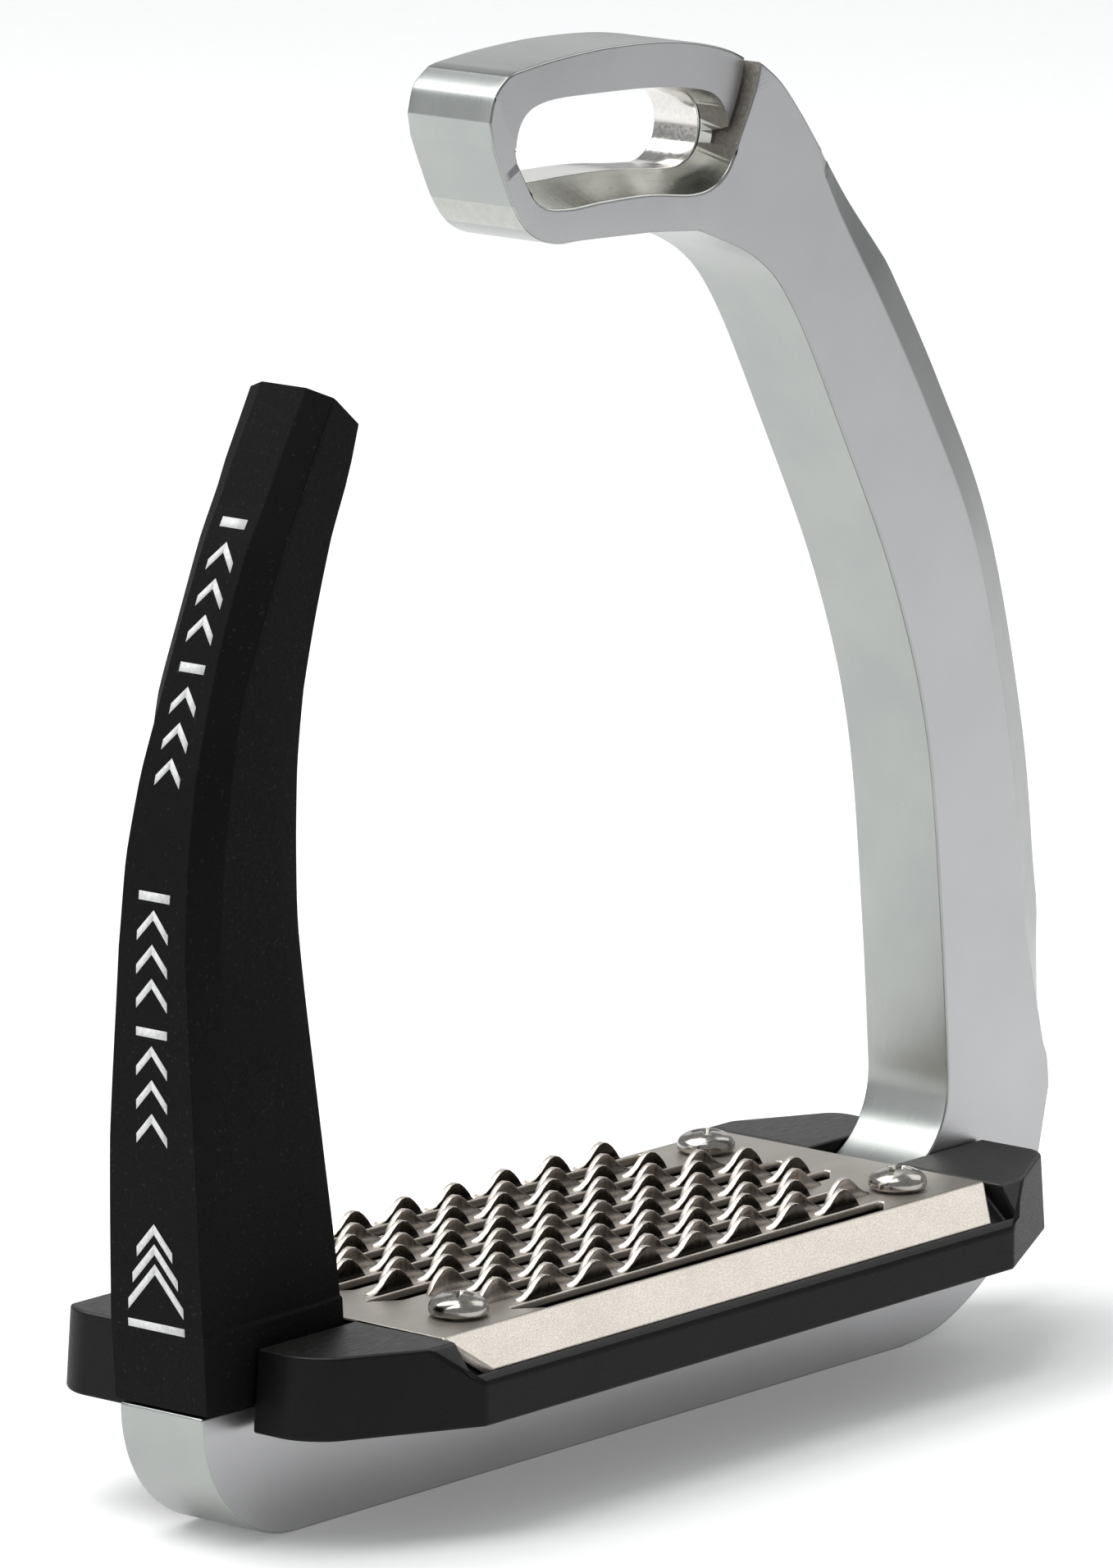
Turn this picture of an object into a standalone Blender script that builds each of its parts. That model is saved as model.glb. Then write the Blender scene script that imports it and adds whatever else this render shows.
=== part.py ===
"""Safety stirrup iron: aluminium C-shaped frame, elastomer release arm, moulded footbed and
toothed grip plate.

X runs along the tread from the release arm to the metal arm, Y from front to back, Z up.
The lengths below are millimetres measured from the middle of the tread's top face. The last
step moves everything so that the origin is the bearing line under the eye's top bar.
"""

import bmesh
import bpy
from math import cos, pi, radians, sin
from mathutils import Matrix, Vector

MM = 0.001
GAP = 0.3                       # clearance between pieces that rest on each other

# frame
FRAME_DEPTH = 13.6              # front face to back face
BAR_LEFT = -80.5
BAR_TOP = -7.5
BAR_BOTTOM = -25.1
BAR_CORNER = 17.0               # radius of the bar's lower left corner
FOOT_X = 53.8                   # where the seat of the tread ends at the metal arm
FOOT_RADIUS = 11.0
FOOT_RISE = 16.0                # height of that radius's centre above the seat
FOOT_CORNER = 0.5               # step from the seat's end to the start of that radius
CHAMFER_WIDE = 5.6              # arm chamfer measured on the front face
CHAMFER_DEEP = 2.1              # and across the depth
CHAMFER_FADE = 24.0             # length over which it grows at the foot
CHAMFER_SHOULDER = 3.0          # its width where it ends beside the eye
CHAMFER_SPREAD = 0.13           # and how much it widens per millimetre from there

# leather eye
EYE_SLOT_LEFT = -21.1
EYE_SLOT_RIGHT = 21.2
EYE_FLOOR = 136.0
EYE_ROOF = 147.0
BEARING_Z = 146.5               # the roof over the middle, where the leather bears
EYE_LEAD_IN = 5.9               # depth of the flared mouth in front of the liner
LINER_WALL = 1.1
RECESS_SLOPE = 0.047            # fall of the top bar's front face per millimetre
RELIEF_WIDTH = 0.9              # narrow groove beside the recessed top bar
RELIEF_DEPTH = 2.4

# footbed pad
PAD_HALF_TOP = 72.0
PAD_HALF_X = 73.0
PAD_HALF_Y = 28.2
PAD_CHAMFER_X = 52.2            # where the corner chamfer starts on the long side
PAD_CHAMFER_Y = 17.3            # and on the short side
PAD_EAR_X = 62.0                # the back left ear is wider: its corner starts here
PAD_EAR_Y = 24.4                # and ends here
PAD_BOTTOM = -10.5
PAD_LIP = -5.1                  # lower edge of the sloped long sides
PAD_SLOPE_TOP = 24.5            # half width of the level top
PAD_WALL = 3.2
PAD_SHELF = 2.4                 # thickness of the deck under the grip plate
PAD_TRAY_STEP = 0.4             # how much lower the deck is at the two ends
WELL_MARGIN = 0.4               # room past the edge of the grip plate's flanges

# grip plate
PLATE_HALF_X = FOOT_X - 0.4      # the plate stops short of the metal arm
PLATE_HALF_Y = 22.2
PLATE_SHEET = 1.1
FLANGE_OUT = 4.6
FLANGE_DOWN = 4.1
FLANGE_INSET = 4.2              # how much shorter the flange is at each end
SLOT_PITCH = 8.0
SLOT_WIDTH = 3.8
SLOT_END_MARGINS = (17.1, 13.5, 8.3, 8.3, 13.5, 17.1)    # from each slot to the plate's end
SLOT_HALF_LENGTHS = [PLATE_HALF_X - margin for margin in SLOT_END_MARGINS]
TOOTH_PITCH = 9.8
TOOTH_WIDTH = 7.0
TOOTH_HEIGHT = 3.0
TOOTH_SHEET = 1.0

# carrier under the footbed
CARRIER_HALF_X = PLATE_HALF_X - 4.4
CARRIER_HALF_Y = 19.5
CARRIER_SHEET = 2.9

# screws
PLATE_SCREW_X = PLATE_HALF_X - 10.1
PLATE_SCREW_Y = 16.0
PLATE_SCREW_HEAD = 7.6
PLATE_SCREW_HEIGHT = 2.6
PLATE_SCREW_SHANK = 4.0
PLATE_SCREW_LENGTH = 9.5
CARRIER_SCREW_X = 24.0
CARRIER_SCREW_HEAD = 9.2
CARRIER_SCREW_SHANK = 5.0
CARRIER_SCREW_LENGTH = 14.0
ARM_BOLT_SHANK = 5.0
ARM_BOLT_HEAD = 8.0
ARM_BOLT_HEAD_HEIGHT = 5.0
SOCKET_RADIUS = 2.3
SOCKET_DEPTH = 2.6
ARM_BOLT_INSET = 8.1            # from the arm's inner face to the bolt
BOLT_SEAT = 11.0                # height of the bolt head's seat above the bar's underside

CROSS_ARM = 0.13                # half width of a driver recess's arm, as a share of its size
CROSS_FLOOR = 0.45              # size of its floor, as a share of its size at the top
PLATE_CROSS = (4.8, 1.6)        # size and depth of the driver recess
CARRIER_CROSS = (5.0, 1.5)

# release arm
ARM_SPLIT = 13.0                # height at which the arm starts to bend
ARM_CLEARANCE = 0.5             # round the arm's root, in the pad's notch
ARM_TIP_OUTER = (-57.0, 116.6)  # (x, z) of the slanted tip's two ends
ARM_TIP_INNER = (-49.9, 111.4)
ARM_SOFT_EDGE = (1.6, 1.0)      # chamfer beside the inner face, along X and across
INSERT_SIZE = (16.0, 8.4, 9.0)
INSERT_OFFSET = 2.5             # the block's middle from the bolt, towards the outside
# height, outer face, bevel end, inner face, half width of outer face, half depth
ARM_SECTIONS = (
    (-7.2, -80.6, -77.0, -54.4, 7.6, 7.7),
    (3.0, -81.3, -77.2, -54.6, 7.6, 7.7),
    (26.0, -81.9, -77.0, -58.2, 7.0, 7.3),
    (50.0, -81.7, -76.7, -61.4, 5.5, 6.8),
    (61.0, -80.7, -75.9, -61.8, 5.1, 6.8),
    (71.0, -78.6, -74.4, -61.5, 4.5, 6.8),
    (80.0, -75.5, -72.6, -60.3, 3.9, 6.8),
    (89.0, -72.1, -68.6, -58.0, 3.6, 6.8),
    (98.0, -68.0, -64.9, -55.1, 3.5, 6.8),
    (107.0, -62.8, -60.1, -51.3, 3.6, 6.8),
)
ARM_BOLT_X = ARM_SECTIONS[0][3] - ARM_BOLT_INSET

MATERIALS = {
    "aluminium": ((0.56, 0.57, 0.58), 0.34, 1.0),
    "steel": ((0.60, 0.58, 0.55), 0.25, 1.0),
    "nickel_sheet": ((0.50, 0.47, 0.44), 0.38, 1.0),
    "elastomer": ((0.012, 0.012, 0.013), 0.72, 0.0),
    "moulded_plastic": ((0.035, 0.034, 0.033), 0.55, 0.0),
}


# helpers ---------------------------------------------------------------------------------

def collection(name):
    made = bpy.data.collections.new(name)
    bpy.context.scene.collection.children.link(made)
    return made


def material(name):
    colour, roughness, metallic = MATERIALS[name]
    made = bpy.data.materials.get(name)
    if made is None:
        made = bpy.data.materials.new(name)
        made.use_nodes = True
        shader = made.node_tree.nodes["Principled BSDF"]
        shader.inputs["Base Color"].default_value = (*colour, 1.0)
        shader.inputs["Roughness"].default_value = roughness
        shader.inputs["Metallic"].default_value = metallic
    return made


def keep(mesh_builder, name, home, finish=None):
    """Turns a bmesh in millimetres into a named object in metres."""
    bmesh.ops.recalc_face_normals(mesh_builder, faces=mesh_builder.faces)
    mesh_builder.transform(Matrix.Scale(MM, 4))
    data = bpy.data.meshes.new(name)
    mesh_builder.to_mesh(data)
    mesh_builder.free()
    made = bpy.data.objects.new(name, data)
    home.objects.link(made)
    if finish:
        data.materials.append(material(finish))
    return made


def cutter(mesh_builder, name, home):
    made = keep(mesh_builder, name, home)
    made.hide_render = True
    made.display_type = "WIRE"
    return made


def boolean(target, tool, operation="DIFFERENCE"):
    step = target.modifiers.new(tool.name, "BOOLEAN")
    step.operation = operation
    step.solver = "EXACT"
    step.object = tool


def spline(points, steps):
    """Points of a smooth curve through the given ones."""
    ends = [points[0], *points, points[-1]]
    out = []
    for a, b, c, d in zip(ends, ends[1:], ends[2:], ends[3:]):
        for i in range(steps):
            t = i / steps
            out.append(tuple(
                0.5 * (2 * q + (r - p) * t + (2 * p - 5 * q + 4 * r - s) * t * t
                       + (3 * q - p - 3 * r + s) * t ** 3)
                for p, q, r, s in zip(a, b, c, d)
            ))
    out.append(tuple(points[-1]))
    return out


def closed_spline(points, steps):
    """Points of a smooth closed curve through the given ones."""
    around = [points[-1], *points, points[0], points[1]]
    out = []
    for a, b, c, d in zip(around, around[1:], around[2:], around[3:]):
        for i in range(steps):
            t = i / steps
            out.append(tuple(
                0.5 * (2 * q + (r - p) * t + (2 * p - 5 * q + 4 * r - s) * t * t
                       + (3 * q - p - 3 * r + s) * t ** 3)
                for p, q, r, s in zip(a, b, c, d)
            ))
    return out


def arc(centre, radius, start, end, steps):
    """Points of an arc, with its angles in degrees."""
    turn = [radians(start + (end - start) * i / steps) for i in range(steps + 1)]
    return [(centre[0] + radius * cos(a), centre[1] + radius * sin(a)) for a in turn]


def offset_loop(loop, distance):
    """A closed outline moved outward by the distance, for a loop that runs anticlockwise."""
    out = []
    count = len(loop)
    for i in range(count):
        ahead = Vector(loop[(i + 1) % count])
        behind = Vector(loop[i - 1])
        along = (ahead - behind).normalized()
        out.append((loop[i][0] + along.y * distance, loop[i][1] - along.x * distance))
    return out


def add_skin(body, rings):
    """Adds a closed skin through rings of points, all with the same count."""
    loops = []
    for ring in rings:
        verts = [body.verts.new(p) for p in ring]
        loops.append([body.edges.new((verts[i - 1], verts[i])) for i in range(len(verts))])
    for lower, upper in zip(loops, loops[1:]):
        bmesh.ops.bridge_loops(body, edges=lower + upper)
    for end in (loops[0], loops[-1]):
        bmesh.ops.contextual_create(body, geom=end)


def skin(rings):
    body = bmesh.new()
    add_skin(body, rings)
    return body


def prism_y(outline, front, back):
    """An outline of (x, z) points extruded along Y."""
    return skin([[(x, y, z) for x, z in outline] for y in (front, back)])


def prism_z(outline, low, high):
    """An outline of (x, y) points extruded along Z."""
    return skin([[(x, y, z) for x, y in outline] for z in (low, high)])


def block(x0, x1, y0, y1, z0, z1):
    body = bmesh.new()
    bmesh.ops.create_cube(body, size=1.0)
    body.transform(Matrix.Translation(((x0 + x1) / 2, (y0 + y1) / 2, (z0 + z1) / 2))
                   @ Matrix.Diagonal((x1 - x0, y1 - y0, z1 - z0, 1)))
    return body


def turned(profile, centre, segments=32):
    """A body turned about a vertical axis from (radius, z) points, first and last on the axis."""
    body = bmesh.new()
    verts = [body.verts.new((radius, 0, z)) for radius, z in profile]
    edges = [body.edges.new(pair) for pair in zip(verts, verts[1:])]
    bmesh.ops.spin(body, geom=verts + edges, cent=(0, 0, 0), axis=(0, 0, 1), angle=2 * pi,
                   steps=segments, use_merge=True)
    bmesh.ops.remove_doubles(body, verts=body.verts, dist=0.001)
    bmesh.ops.translate(body, verts=body.verts, vec=(*centre, 0))
    return body


def drill(radius, centre, low, high, name, home):
    body = bmesh.new()
    bmesh.ops.create_cone(body, cap_ends=True, segments=24, radius1=radius, radius2=radius,
                          depth=high - low)
    bmesh.ops.translate(body, verts=body.verts, vec=(*centre, (low + high) / 2))
    return cutter(body, name, home)


# frame -----------------------------------------------------------------------------------

def chamfer_line():
    """Front edge of the metal arm's chamfer, from the foot up to the shoulder."""
    return spline([(86.7, 4.5), (86.3, 8.4), (84.9, 12.4), (80.8, 29.0), (77.6, 52.0),
                   (70.4, 79.0), (60.2, 98.5), (50.4, 114.0), (43.2, 124.5), (38.9, 131.8)], 4)


def chamfer_reach(line):
    """How far the chamfer stands out at each point: it is narrower at both ends."""
    lengths = [0.0]
    for before, point in zip(line, line[1:]):
        lengths.append(lengths[-1] + (Vector(point) - Vector(before)).length)
    return [min(CHAMFER_WIDE, CHAMFER_WIDE * length / CHAMFER_FADE,
                CHAMFER_SHOULDER + CHAMFER_SPREAD * (lengths[-1] - length))
            for length in lengths]


def inner_arm_line():
    return spline([(14.0, 127.4), (25.5, 122.4), (32.9, 115.0), (42.2, 98.8), (53.6, 76.6),
                   (60.6, 55.3), (63.8, 29.3), (65.3, 9.5)], 4)


def eye_outline():
    """Outside of the eye from the shoulder over the top and down to the arm."""
    top = spline([(38.3, 134.8), (33.9, 140.4), (29.0, 145.4), (22.0, 149.2), (11.0, 151.6),
                  (-2.0, 152.4), (-13.0, 152.1), (-21.0, 151.4)], 6)
    corner = spline([(-22.4, 151.1), (-25.2, 149.0), (-26.3, 145.6)], 3)
    side = spline([(-25.8, 142.8), (-24.0, 138.8), (-21.6, 134.2), (-18.4, 130.8),
                   (-13.7, 129.1), (-8.0, 128.9), (4.7, 128.3)], 3)
    return top + corner + side


def frame_outline():
    """The frame's front outline and how far its middle stands out from it at each point."""
    corner = arc((BAR_LEFT + BAR_CORNER, BAR_BOTTOM + BAR_CORNER), BAR_CORNER, 180, 270, 12)
    foot = spline([(56.0, BAR_BOTTOM), (64.0, -23.9), (73.0, -19.6), (80.0, -13.6),
                   (84.2, -6.0)], 3)
    line = chamfer_line()
    inside_foot = arc((FOOT_X + FOOT_CORNER, BAR_TOP + FOOT_RISE), FOOT_RADIUS, 0, -90, 8)
    before = [(BAR_LEFT, BAR_TOP), *corner, *foot]
    after = [*eye_outline(), *inner_arm_line(), *inside_foot, (FOOT_X, BAR_TOP)]
    points = before + line + after
    reach = [0.0] * len(before) + chamfer_reach(line) + [0.0] * len(after)
    return points, reach


def frame_body(home):
    points, reach = frame_outline()
    half = FRAME_DEPTH / 2
    inner = half - CHAMFER_DEEP
    wide = []
    count = len(points)
    for i, (x, z) in enumerate(points):
        along = (Vector(points[(i + 1) % count]) - Vector(points[i - 1])).normalized()
        wide.append((x + along.y * reach[i], z - along.x * reach[i]))
    rings = [[(x, y, z) for x, z in outline] for outline, y in
             ((points, -half), (wide, -inner), (wide, inner), (points, half))]
    return keep(skin(rings), "frame", home, "aluminium")


def eye_loop():
    """Inside of the eye's liner, anticlockwise from the left end."""
    return closed_spline([
        (EYE_SLOT_LEFT, 141.5), (-20.2, 138.3), (-17.3, EYE_FLOOR + 0.3),
        (-12.0, EYE_FLOOR), (-4.5, EYE_FLOOR), (4.4, 135.7), (13.0, 134.8), (17.3, 134.7),
        (20.2, 136.4), (EYE_SLOT_RIGHT, 139.2), (20.4, 142.2), (17.0, 144.4), (8.3, 146.0),
        (-4.2, 146.8), (-15.0, EYE_ROOF), (-19.6, 145.4),
    ], 3)


def mouth_loop():
    """Front edge of the eye's flared mouth, point for point with eye_loop."""
    return closed_spline([
        (-21.4, 141.6), (-19.7, 138.0), (-16.6, 134.3), (-11.3, 133.2), (-4.2, 133.3),
        (4.5, 133.1), (13.0, 132.1), (17.4, 132.8), (20.1, 134.9), (21.7, 138.3),
        (21.5, 141.6), (18.0, 144.5), (8.5, 146.1), (-4.2, 146.9), (-15.0, 147.1),
        (-19.8, 145.5),
    ], 3)


def top_bar_face(x, z):
    """Y of the recessed front face of the top bar: it falls back from the ridge at the left."""
    fall = (0.884 * (x + 21.5) + 0.466 * (z - 142.0)) * RECESS_SLOPE
    return fall - FRAME_DEPTH / 2


def recess_wall():
    """Right wall of the recess, from the eye's lower right corner past the top."""
    return spline([(20.6, 136.0), (22.3, 139.0), (24.1, 142.2), (25.4, 145.0), (26.2, 148.0),
                   (28.4, 157.0)], 2)


def cut_eye(frame, cutters):
    front = -FRAME_DEPTH / 2
    mid = front + EYE_LEAD_IN
    wall = recess_wall()
    outline = [(-34.0, 157.0), (-34.0, EYE_FLOOR), *wall]
    recess = skin([[(x, front - 4.0, z) for x, z in outline],
                   [(x, top_bar_face(x, z), z) for x, z in outline]])
    boolean(frame, cutter(recess, "cut_top_bar_face", cutters))
    groove = wall[1:] + [(x - RELIEF_WIDTH, z) for x, z in reversed(wall[1:])]
    relief = skin([[(x, front - 4.0, z) for x, z in groove],
                   [(x, top_bar_face(x, z) + RELIEF_DEPTH, z) for x, z in groove]])
    boolean(frame, cutter(relief, "cut_relief", cutters))
    inside = eye_loop()
    mouth = mouth_loop()
    beyond = [(m[0] + (m[0] - e[0]) * 0.2, m[1] + (m[1] - e[1]) * 0.2)
              for m, e in zip(mouth, inside)]
    flare = skin([[(x, front - 0.2 * EYE_LEAD_IN, z) for x, z in beyond],
                  [(x, mid, z) for x, z in inside],
                  [(x, mid + 1.0, z) for x, z in inside]])
    boolean(frame, cutter(flare, "cut_mouth", cutters))
    seat = offset_loop(inside, LINER_WALL + GAP / 2)
    boolean(frame, cutter(prism_y(seat, mid, -front + 1.0), "cut_liner_seat", cutters))


def cut_bar(frame, cutters):
    hole = ARM_BOLT_SHANK / 2 + GAP
    head = ARM_BOLT_HEAD / 2 + GAP
    seat = BAR_BOTTOM + BOLT_SEAT
    stepped = turned([(0, BAR_BOTTOM - 2), (head, BAR_BOTTOM - 2), (head, seat),
                      (hole, seat), (hole, BAR_TOP + 1), (0, BAR_TOP + 1)],
                     (ARM_BOLT_X, 0), 24)
    boolean(frame, cutter(stepped, "cut_bolt", cutters))
    for x in (-CARRIER_SCREW_X, CARRIER_SCREW_X):
        boolean(frame, drill(CARRIER_SCREW_SHANK / 2 + GAP / 2, (x, 0), BAR_TOP - 12,
                             BAR_TOP + 1, f"cut_carrier_hole_{x:.0f}", cutters))


def build_frame(parts, cutters):
    frame = frame_body(parts)
    cut_eye(frame, cutters)
    cut_bar(frame, cutters)
    return frame


def build_eye_liner(parts, cutters):
    front = -FRAME_DEPTH / 2 + EYE_LEAD_IN + GAP
    back = FRAME_DEPTH / 2
    inside = eye_loop()
    liner = keep(prism_y(offset_loop(inside, LINER_WALL), front, back), "eye_liner", parts,
                 "steel")
    boolean(liner, cutter(prism_y(inside, front - 1, back + 1), "cut_liner_bore", cutters))
    return liner


# footbed ---------------------------------------------------------------------------------

def octagon(half_x, half_y, corner_x, corner_y):
    return [(half_x, -corner_y), (half_x, corner_y), (corner_x, half_y), (-corner_x, half_y),
            (-half_x, corner_y), (-half_x, -corner_y), (-corner_x, -half_y),
            (corner_x, -half_y)]


def pad_plan(half_x):
    """Plan of the pad, whose ends stand at half_x. Every corner is cut, the back left one less."""
    plan = octagon(half_x, PAD_HALF_Y, PAD_CHAMFER_X, PAD_CHAMFER_Y)
    plan[3] = (-PAD_EAR_X, PAD_HALF_Y)
    plan[4] = (-half_x, PAD_EAR_Y)
    return plan


def flange_offset(distance):
    """(y, z) of the corner and the end of the grip plate's profile, moved in by the distance."""
    length = (FLANGE_OUT ** 2 + FLANGE_DOWN ** 2) ** 0.5
    across, down = FLANGE_OUT / length, FLANGE_DOWN / length
    corner = PLATE_HALF_Y - distance * (1 - across) / down
    end = PLATE_HALF_Y + FLANGE_OUT - distance * down, -FLANGE_DOWN - distance * across
    return corner, end


def plate_well(cutters):
    """Space for the grip plate: level floor, sloping sides, open at the top."""
    floor = -PLATE_SHEET - GAP
    corner = flange_offset(PLATE_SHEET + GAP)[0]
    far = PLATE_HALF_Y + FLANGE_OUT + WELL_MARGIN
    low = floor - (far - corner) * FLANGE_DOWN / FLANGE_OUT
    profile = [(-far, low), (-corner, floor), (corner, floor), (far, low), (far, 6.0),
               (-far, 6.0)]
    reach = PLATE_HALF_X + GAP
    well = skin([[(x, y, z) for y, z in profile] for x in (-reach, reach)])
    return cutter(well, "cut_plate_well", cutters)


def underside_tray(cutters):
    """The hollow under the deck, in a wide middle and two narrower ends."""
    deck = -PLATE_SHEET - GAP - PAD_SHELF
    corner = flange_offset(PLATE_SHEET + GAP + PAD_SHELF)[0]
    far = PAD_HALF_Y - PAD_WALL
    low = deck - (far - corner) * FLANGE_DOWN / FLANGE_OUT
    bottom = PAD_BOTTOM - 2
    profile = [(-far, bottom), (far, bottom), (far, low), (corner, deck), (-corner, deck),
               (-far, low)]
    reach = PAD_CHAMFER_X - 1.0
    middle = skin([[(x, y, z) for y, z in profile] for x in (-reach, reach)])
    reach = PAD_HALF_TOP - PAD_WALL
    half = PAD_CHAMFER_Y - 2.0
    ends = block(-reach, reach, -half, half, bottom - 1, deck - PAD_TRAY_STEP)
    return cutter(middle, "cut_tray", cutters), cutter(ends, "cut_tray_ends", cutters)


def pad_side_cut(side, cutters):
    """Takes the pad's long edge down to a slope from the level top to the lip."""
    y = side * PAD_SLOPE_TOP
    far = side * (PAD_HALF_Y + 12.0)
    fall = (PAD_LIP / (PAD_HALF_Y - PAD_SLOPE_TOP)) * (abs(far) - PAD_SLOPE_TOP)
    profile = [(y, 0.0), (far, fall), (far, 8.0), (y, 8.0)]
    reach = PAD_HALF_X + 5.0
    body = skin([[(x, py, pz) for py, pz in profile] for x in (-reach, reach)])
    return cutter(body, f"cut_pad_slope_{'back' if side > 0 else 'front'}", cutters)


def build_pad(parts, cutters):
    pad = keep(skin([[(x, y, PAD_BOTTOM) for x, y in pad_plan(PAD_HALF_X)],
                     [(x, y, 0.0) for x, y in pad_plan(PAD_HALF_TOP)]]),
               "footbed_pad", parts, "moulded_plastic")
    for side in (-1, 1):
        boolean(pad, pad_side_cut(side, cutters))
    boolean(pad, plate_well(cutters))
    for hollow in underside_tray(cutters):
        boolean(pad, hollow)
    half = ARM_SECTIONS[0][5] + ARM_CLEARANCE
    edge = ARM_SECTIONS[0][3] + ARM_CLEARANCE
    boolean(pad, cutter(block(-PAD_HALF_X - 9, edge, -half, half, PAD_BOTTOM - 3, 5),
                        "cut_release_arm_notch", cutters))
    half = FRAME_DEPTH / 2 + GAP
    boolean(pad, cutter(block(FOOT_X - GAP, PAD_HALF_X + 9, -half, half,
                              PAD_BOTTOM - 3, 5), "cut_metal_arm_notch", cutters))
    for x in (-PLATE_SCREW_X, PLATE_SCREW_X):
        for y in (-PLATE_SCREW_Y, PLATE_SCREW_Y):
            boolean(pad, drill(PLATE_SCREW_SHANK / 2 + GAP, (x, y), PAD_BOTTOM - 2, 2,
                               f"cut_pad_hole_{x:.0f}_{y:.0f}", cutters))
    return pad


def build_carrier(parts, cutters):
    top = -PLATE_SHEET - GAP - PAD_SHELF - GAP
    low = top - CARRIER_SHEET
    plan = octagon(CARRIER_HALF_X, CARRIER_HALF_Y, CARRIER_HALF_X - 6, CARRIER_HALF_Y - 6)
    carrier = keep(prism_z(plan, low, top), "tread_carrier", parts, "steel")
    for x in (-PLATE_SCREW_X, PLATE_SCREW_X):
        for y in (-PLATE_SCREW_Y, PLATE_SCREW_Y):
            boolean(carrier, drill(PLATE_SCREW_SHANK / 2 + GAP / 2, (x, y), low - 1, top + 1,
                                   f"cut_carrier_tap_{x:.0f}_{y:.0f}", cutters))
    head = CARRIER_SCREW_HEAD / 2 + GAP / 2
    shank = CARRIER_SCREW_SHANK / 2 + GAP
    for x in (-CARRIER_SCREW_X, CARRIER_SCREW_X):
        sink = turned([(0, low - 1), (shank, low - 1), (shank, top - head + shank),
                       (head, top), (head, top + 1), (0, top + 1)], (x, 0), 24)
        boolean(carrier, cutter(sink, f"cut_countersink_{x:.0f}", cutters))
    return carrier


def tooth(x, width, height):
    """Outline of one tooth bent up out of the sheet: a rounded lobe with its root below."""
    steps = 6
    root = -PLATE_SHEET * 0.6
    rise = [height * (0.5 - 0.5 * cos(2 * pi * i / steps)) ** 0.8 + 0.05
            for i in range(steps + 1)]
    lobe = [(x + width * (i / steps - 0.5), z) for i, z in enumerate(rise)]
    return [(x - width / 2, root), *lobe, (x + width / 2, root)]


def slot_edges():
    """Front and back edge of each slot, front slot first."""
    first = -2.5 * SLOT_PITCH
    return [(first + SLOT_PITCH * i - SLOT_WIDTH / 2, first + SLOT_PITCH * i + SLOT_WIDTH / 2)
            for i in range(len(SLOT_HALF_LENGTHS))]


def tooth_places():
    """(x, front face y) of every tooth: far edges first, then the near edges, half a pitch on."""
    places = []
    for half, (near, far) in zip(SLOT_HALF_LENGTHS, slot_edges()):
        count = int((half - TOOTH_WIDTH / 2) / TOOTH_PITCH)
        places += [(k * TOOTH_PITCH, far + 0.02) for k in range(-count, count + 1)]
    for half, (near, far) in list(zip(SLOT_HALF_LENGTHS, slot_edges()))[1:]:
        count = int((half - TOOTH_WIDTH / 2) / TOOTH_PITCH + 0.5)
        places += [((k + 0.5) * TOOTH_PITCH, near - 0.02 - TOOTH_SHEET)
                   for k in range(-count, count)]
    return places


def build_grip_plate(parts, cutters):
    y = PLATE_HALF_Y
    out = FLANGE_OUT
    down = FLANGE_DOWN
    t = PLATE_SHEET
    corner, (end_y, end_z) = flange_offset(t)
    profile = [(-y - out, -down), (-y, 0), (y, 0), (y + out, -down), (end_y, end_z),
               (corner, -t), (-corner, -t), (-end_y, end_z)]
    plate = keep(skin([[(x, py, pz) for py, pz in profile]
                       for x in (-PLATE_HALF_X, PLATE_HALF_X)]), "grip_plate", parts,
                 "nickel_sheet")
    for end in (-1, 1):
        for side in (-1, 1):
            x = end * PLATE_HALF_X
            wedge = [(x, side * y), (x - end * (FLANGE_INSET * 1.5), side * (y + out * 1.5)),
                     (x + end * 6, side * (y + out * 1.5)), (x + end * 6, side * y)]
            boolean(plate, cutter(prism_z(wedge, -9, 3), f"cut_flange_{end}_{side}", cutters))
    for i, (half, (near, far)) in enumerate(zip(SLOT_HALF_LENGTHS, slot_edges())):
        taper = 3.0
        outline = [(-half, far - 0.2), (-half + taper, near), (half - taper, near),
                   (half, far - 0.2), (half, far), (-half, far)]
        boolean(plate, cutter(prism_z(outline, -t - 1, 1), f"cut_slot_{i}", cutters))
    teeth = bmesh.new()
    for x, face in tooth_places():
        outline = tooth(x, TOOTH_WIDTH, TOOTH_HEIGHT)
        add_skin(teeth, [[(px, py, pz) for px, pz in outline]
                         for py in (face, face + TOOTH_SHEET)])
    boolean(plate, cutter(teeth, "add_teeth", cutters), "UNION")
    for sx in (-PLATE_SCREW_X, PLATE_SCREW_X):
        for sy in (-PLATE_SCREW_Y, PLATE_SCREW_Y):
            boolean(plate, drill(PLATE_SCREW_SHANK / 2 + GAP / 2, (sx, sy), -t - 1, 2,
                                 f"cut_plate_hole_{sx:.0f}_{sy:.0f}", cutters))
    return plate


# screws ----------------------------------------------------------------------------------

def cross_recess(centre, top, size, depth, name, home):
    """Four-way driver recess that narrows downward."""
    arm = size / 2
    half = size * CROSS_ARM
    plan = [(arm, half), (half, half), (half, arm), (-half, arm), (-half, half), (-arm, half),
            (-arm, -half), (-half, -half), (-half, -arm), (half, -arm), (half, -half),
            (arm, -half)]
    low, high = [[(centre[0] + x * scale, centre[1] + y * scale, z) for x, y in plan]
                 for scale, z in ((CROSS_FLOOR, top - depth), (1.0, top + GAP))]
    return cutter(skin([low, high]), name, home)


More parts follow.
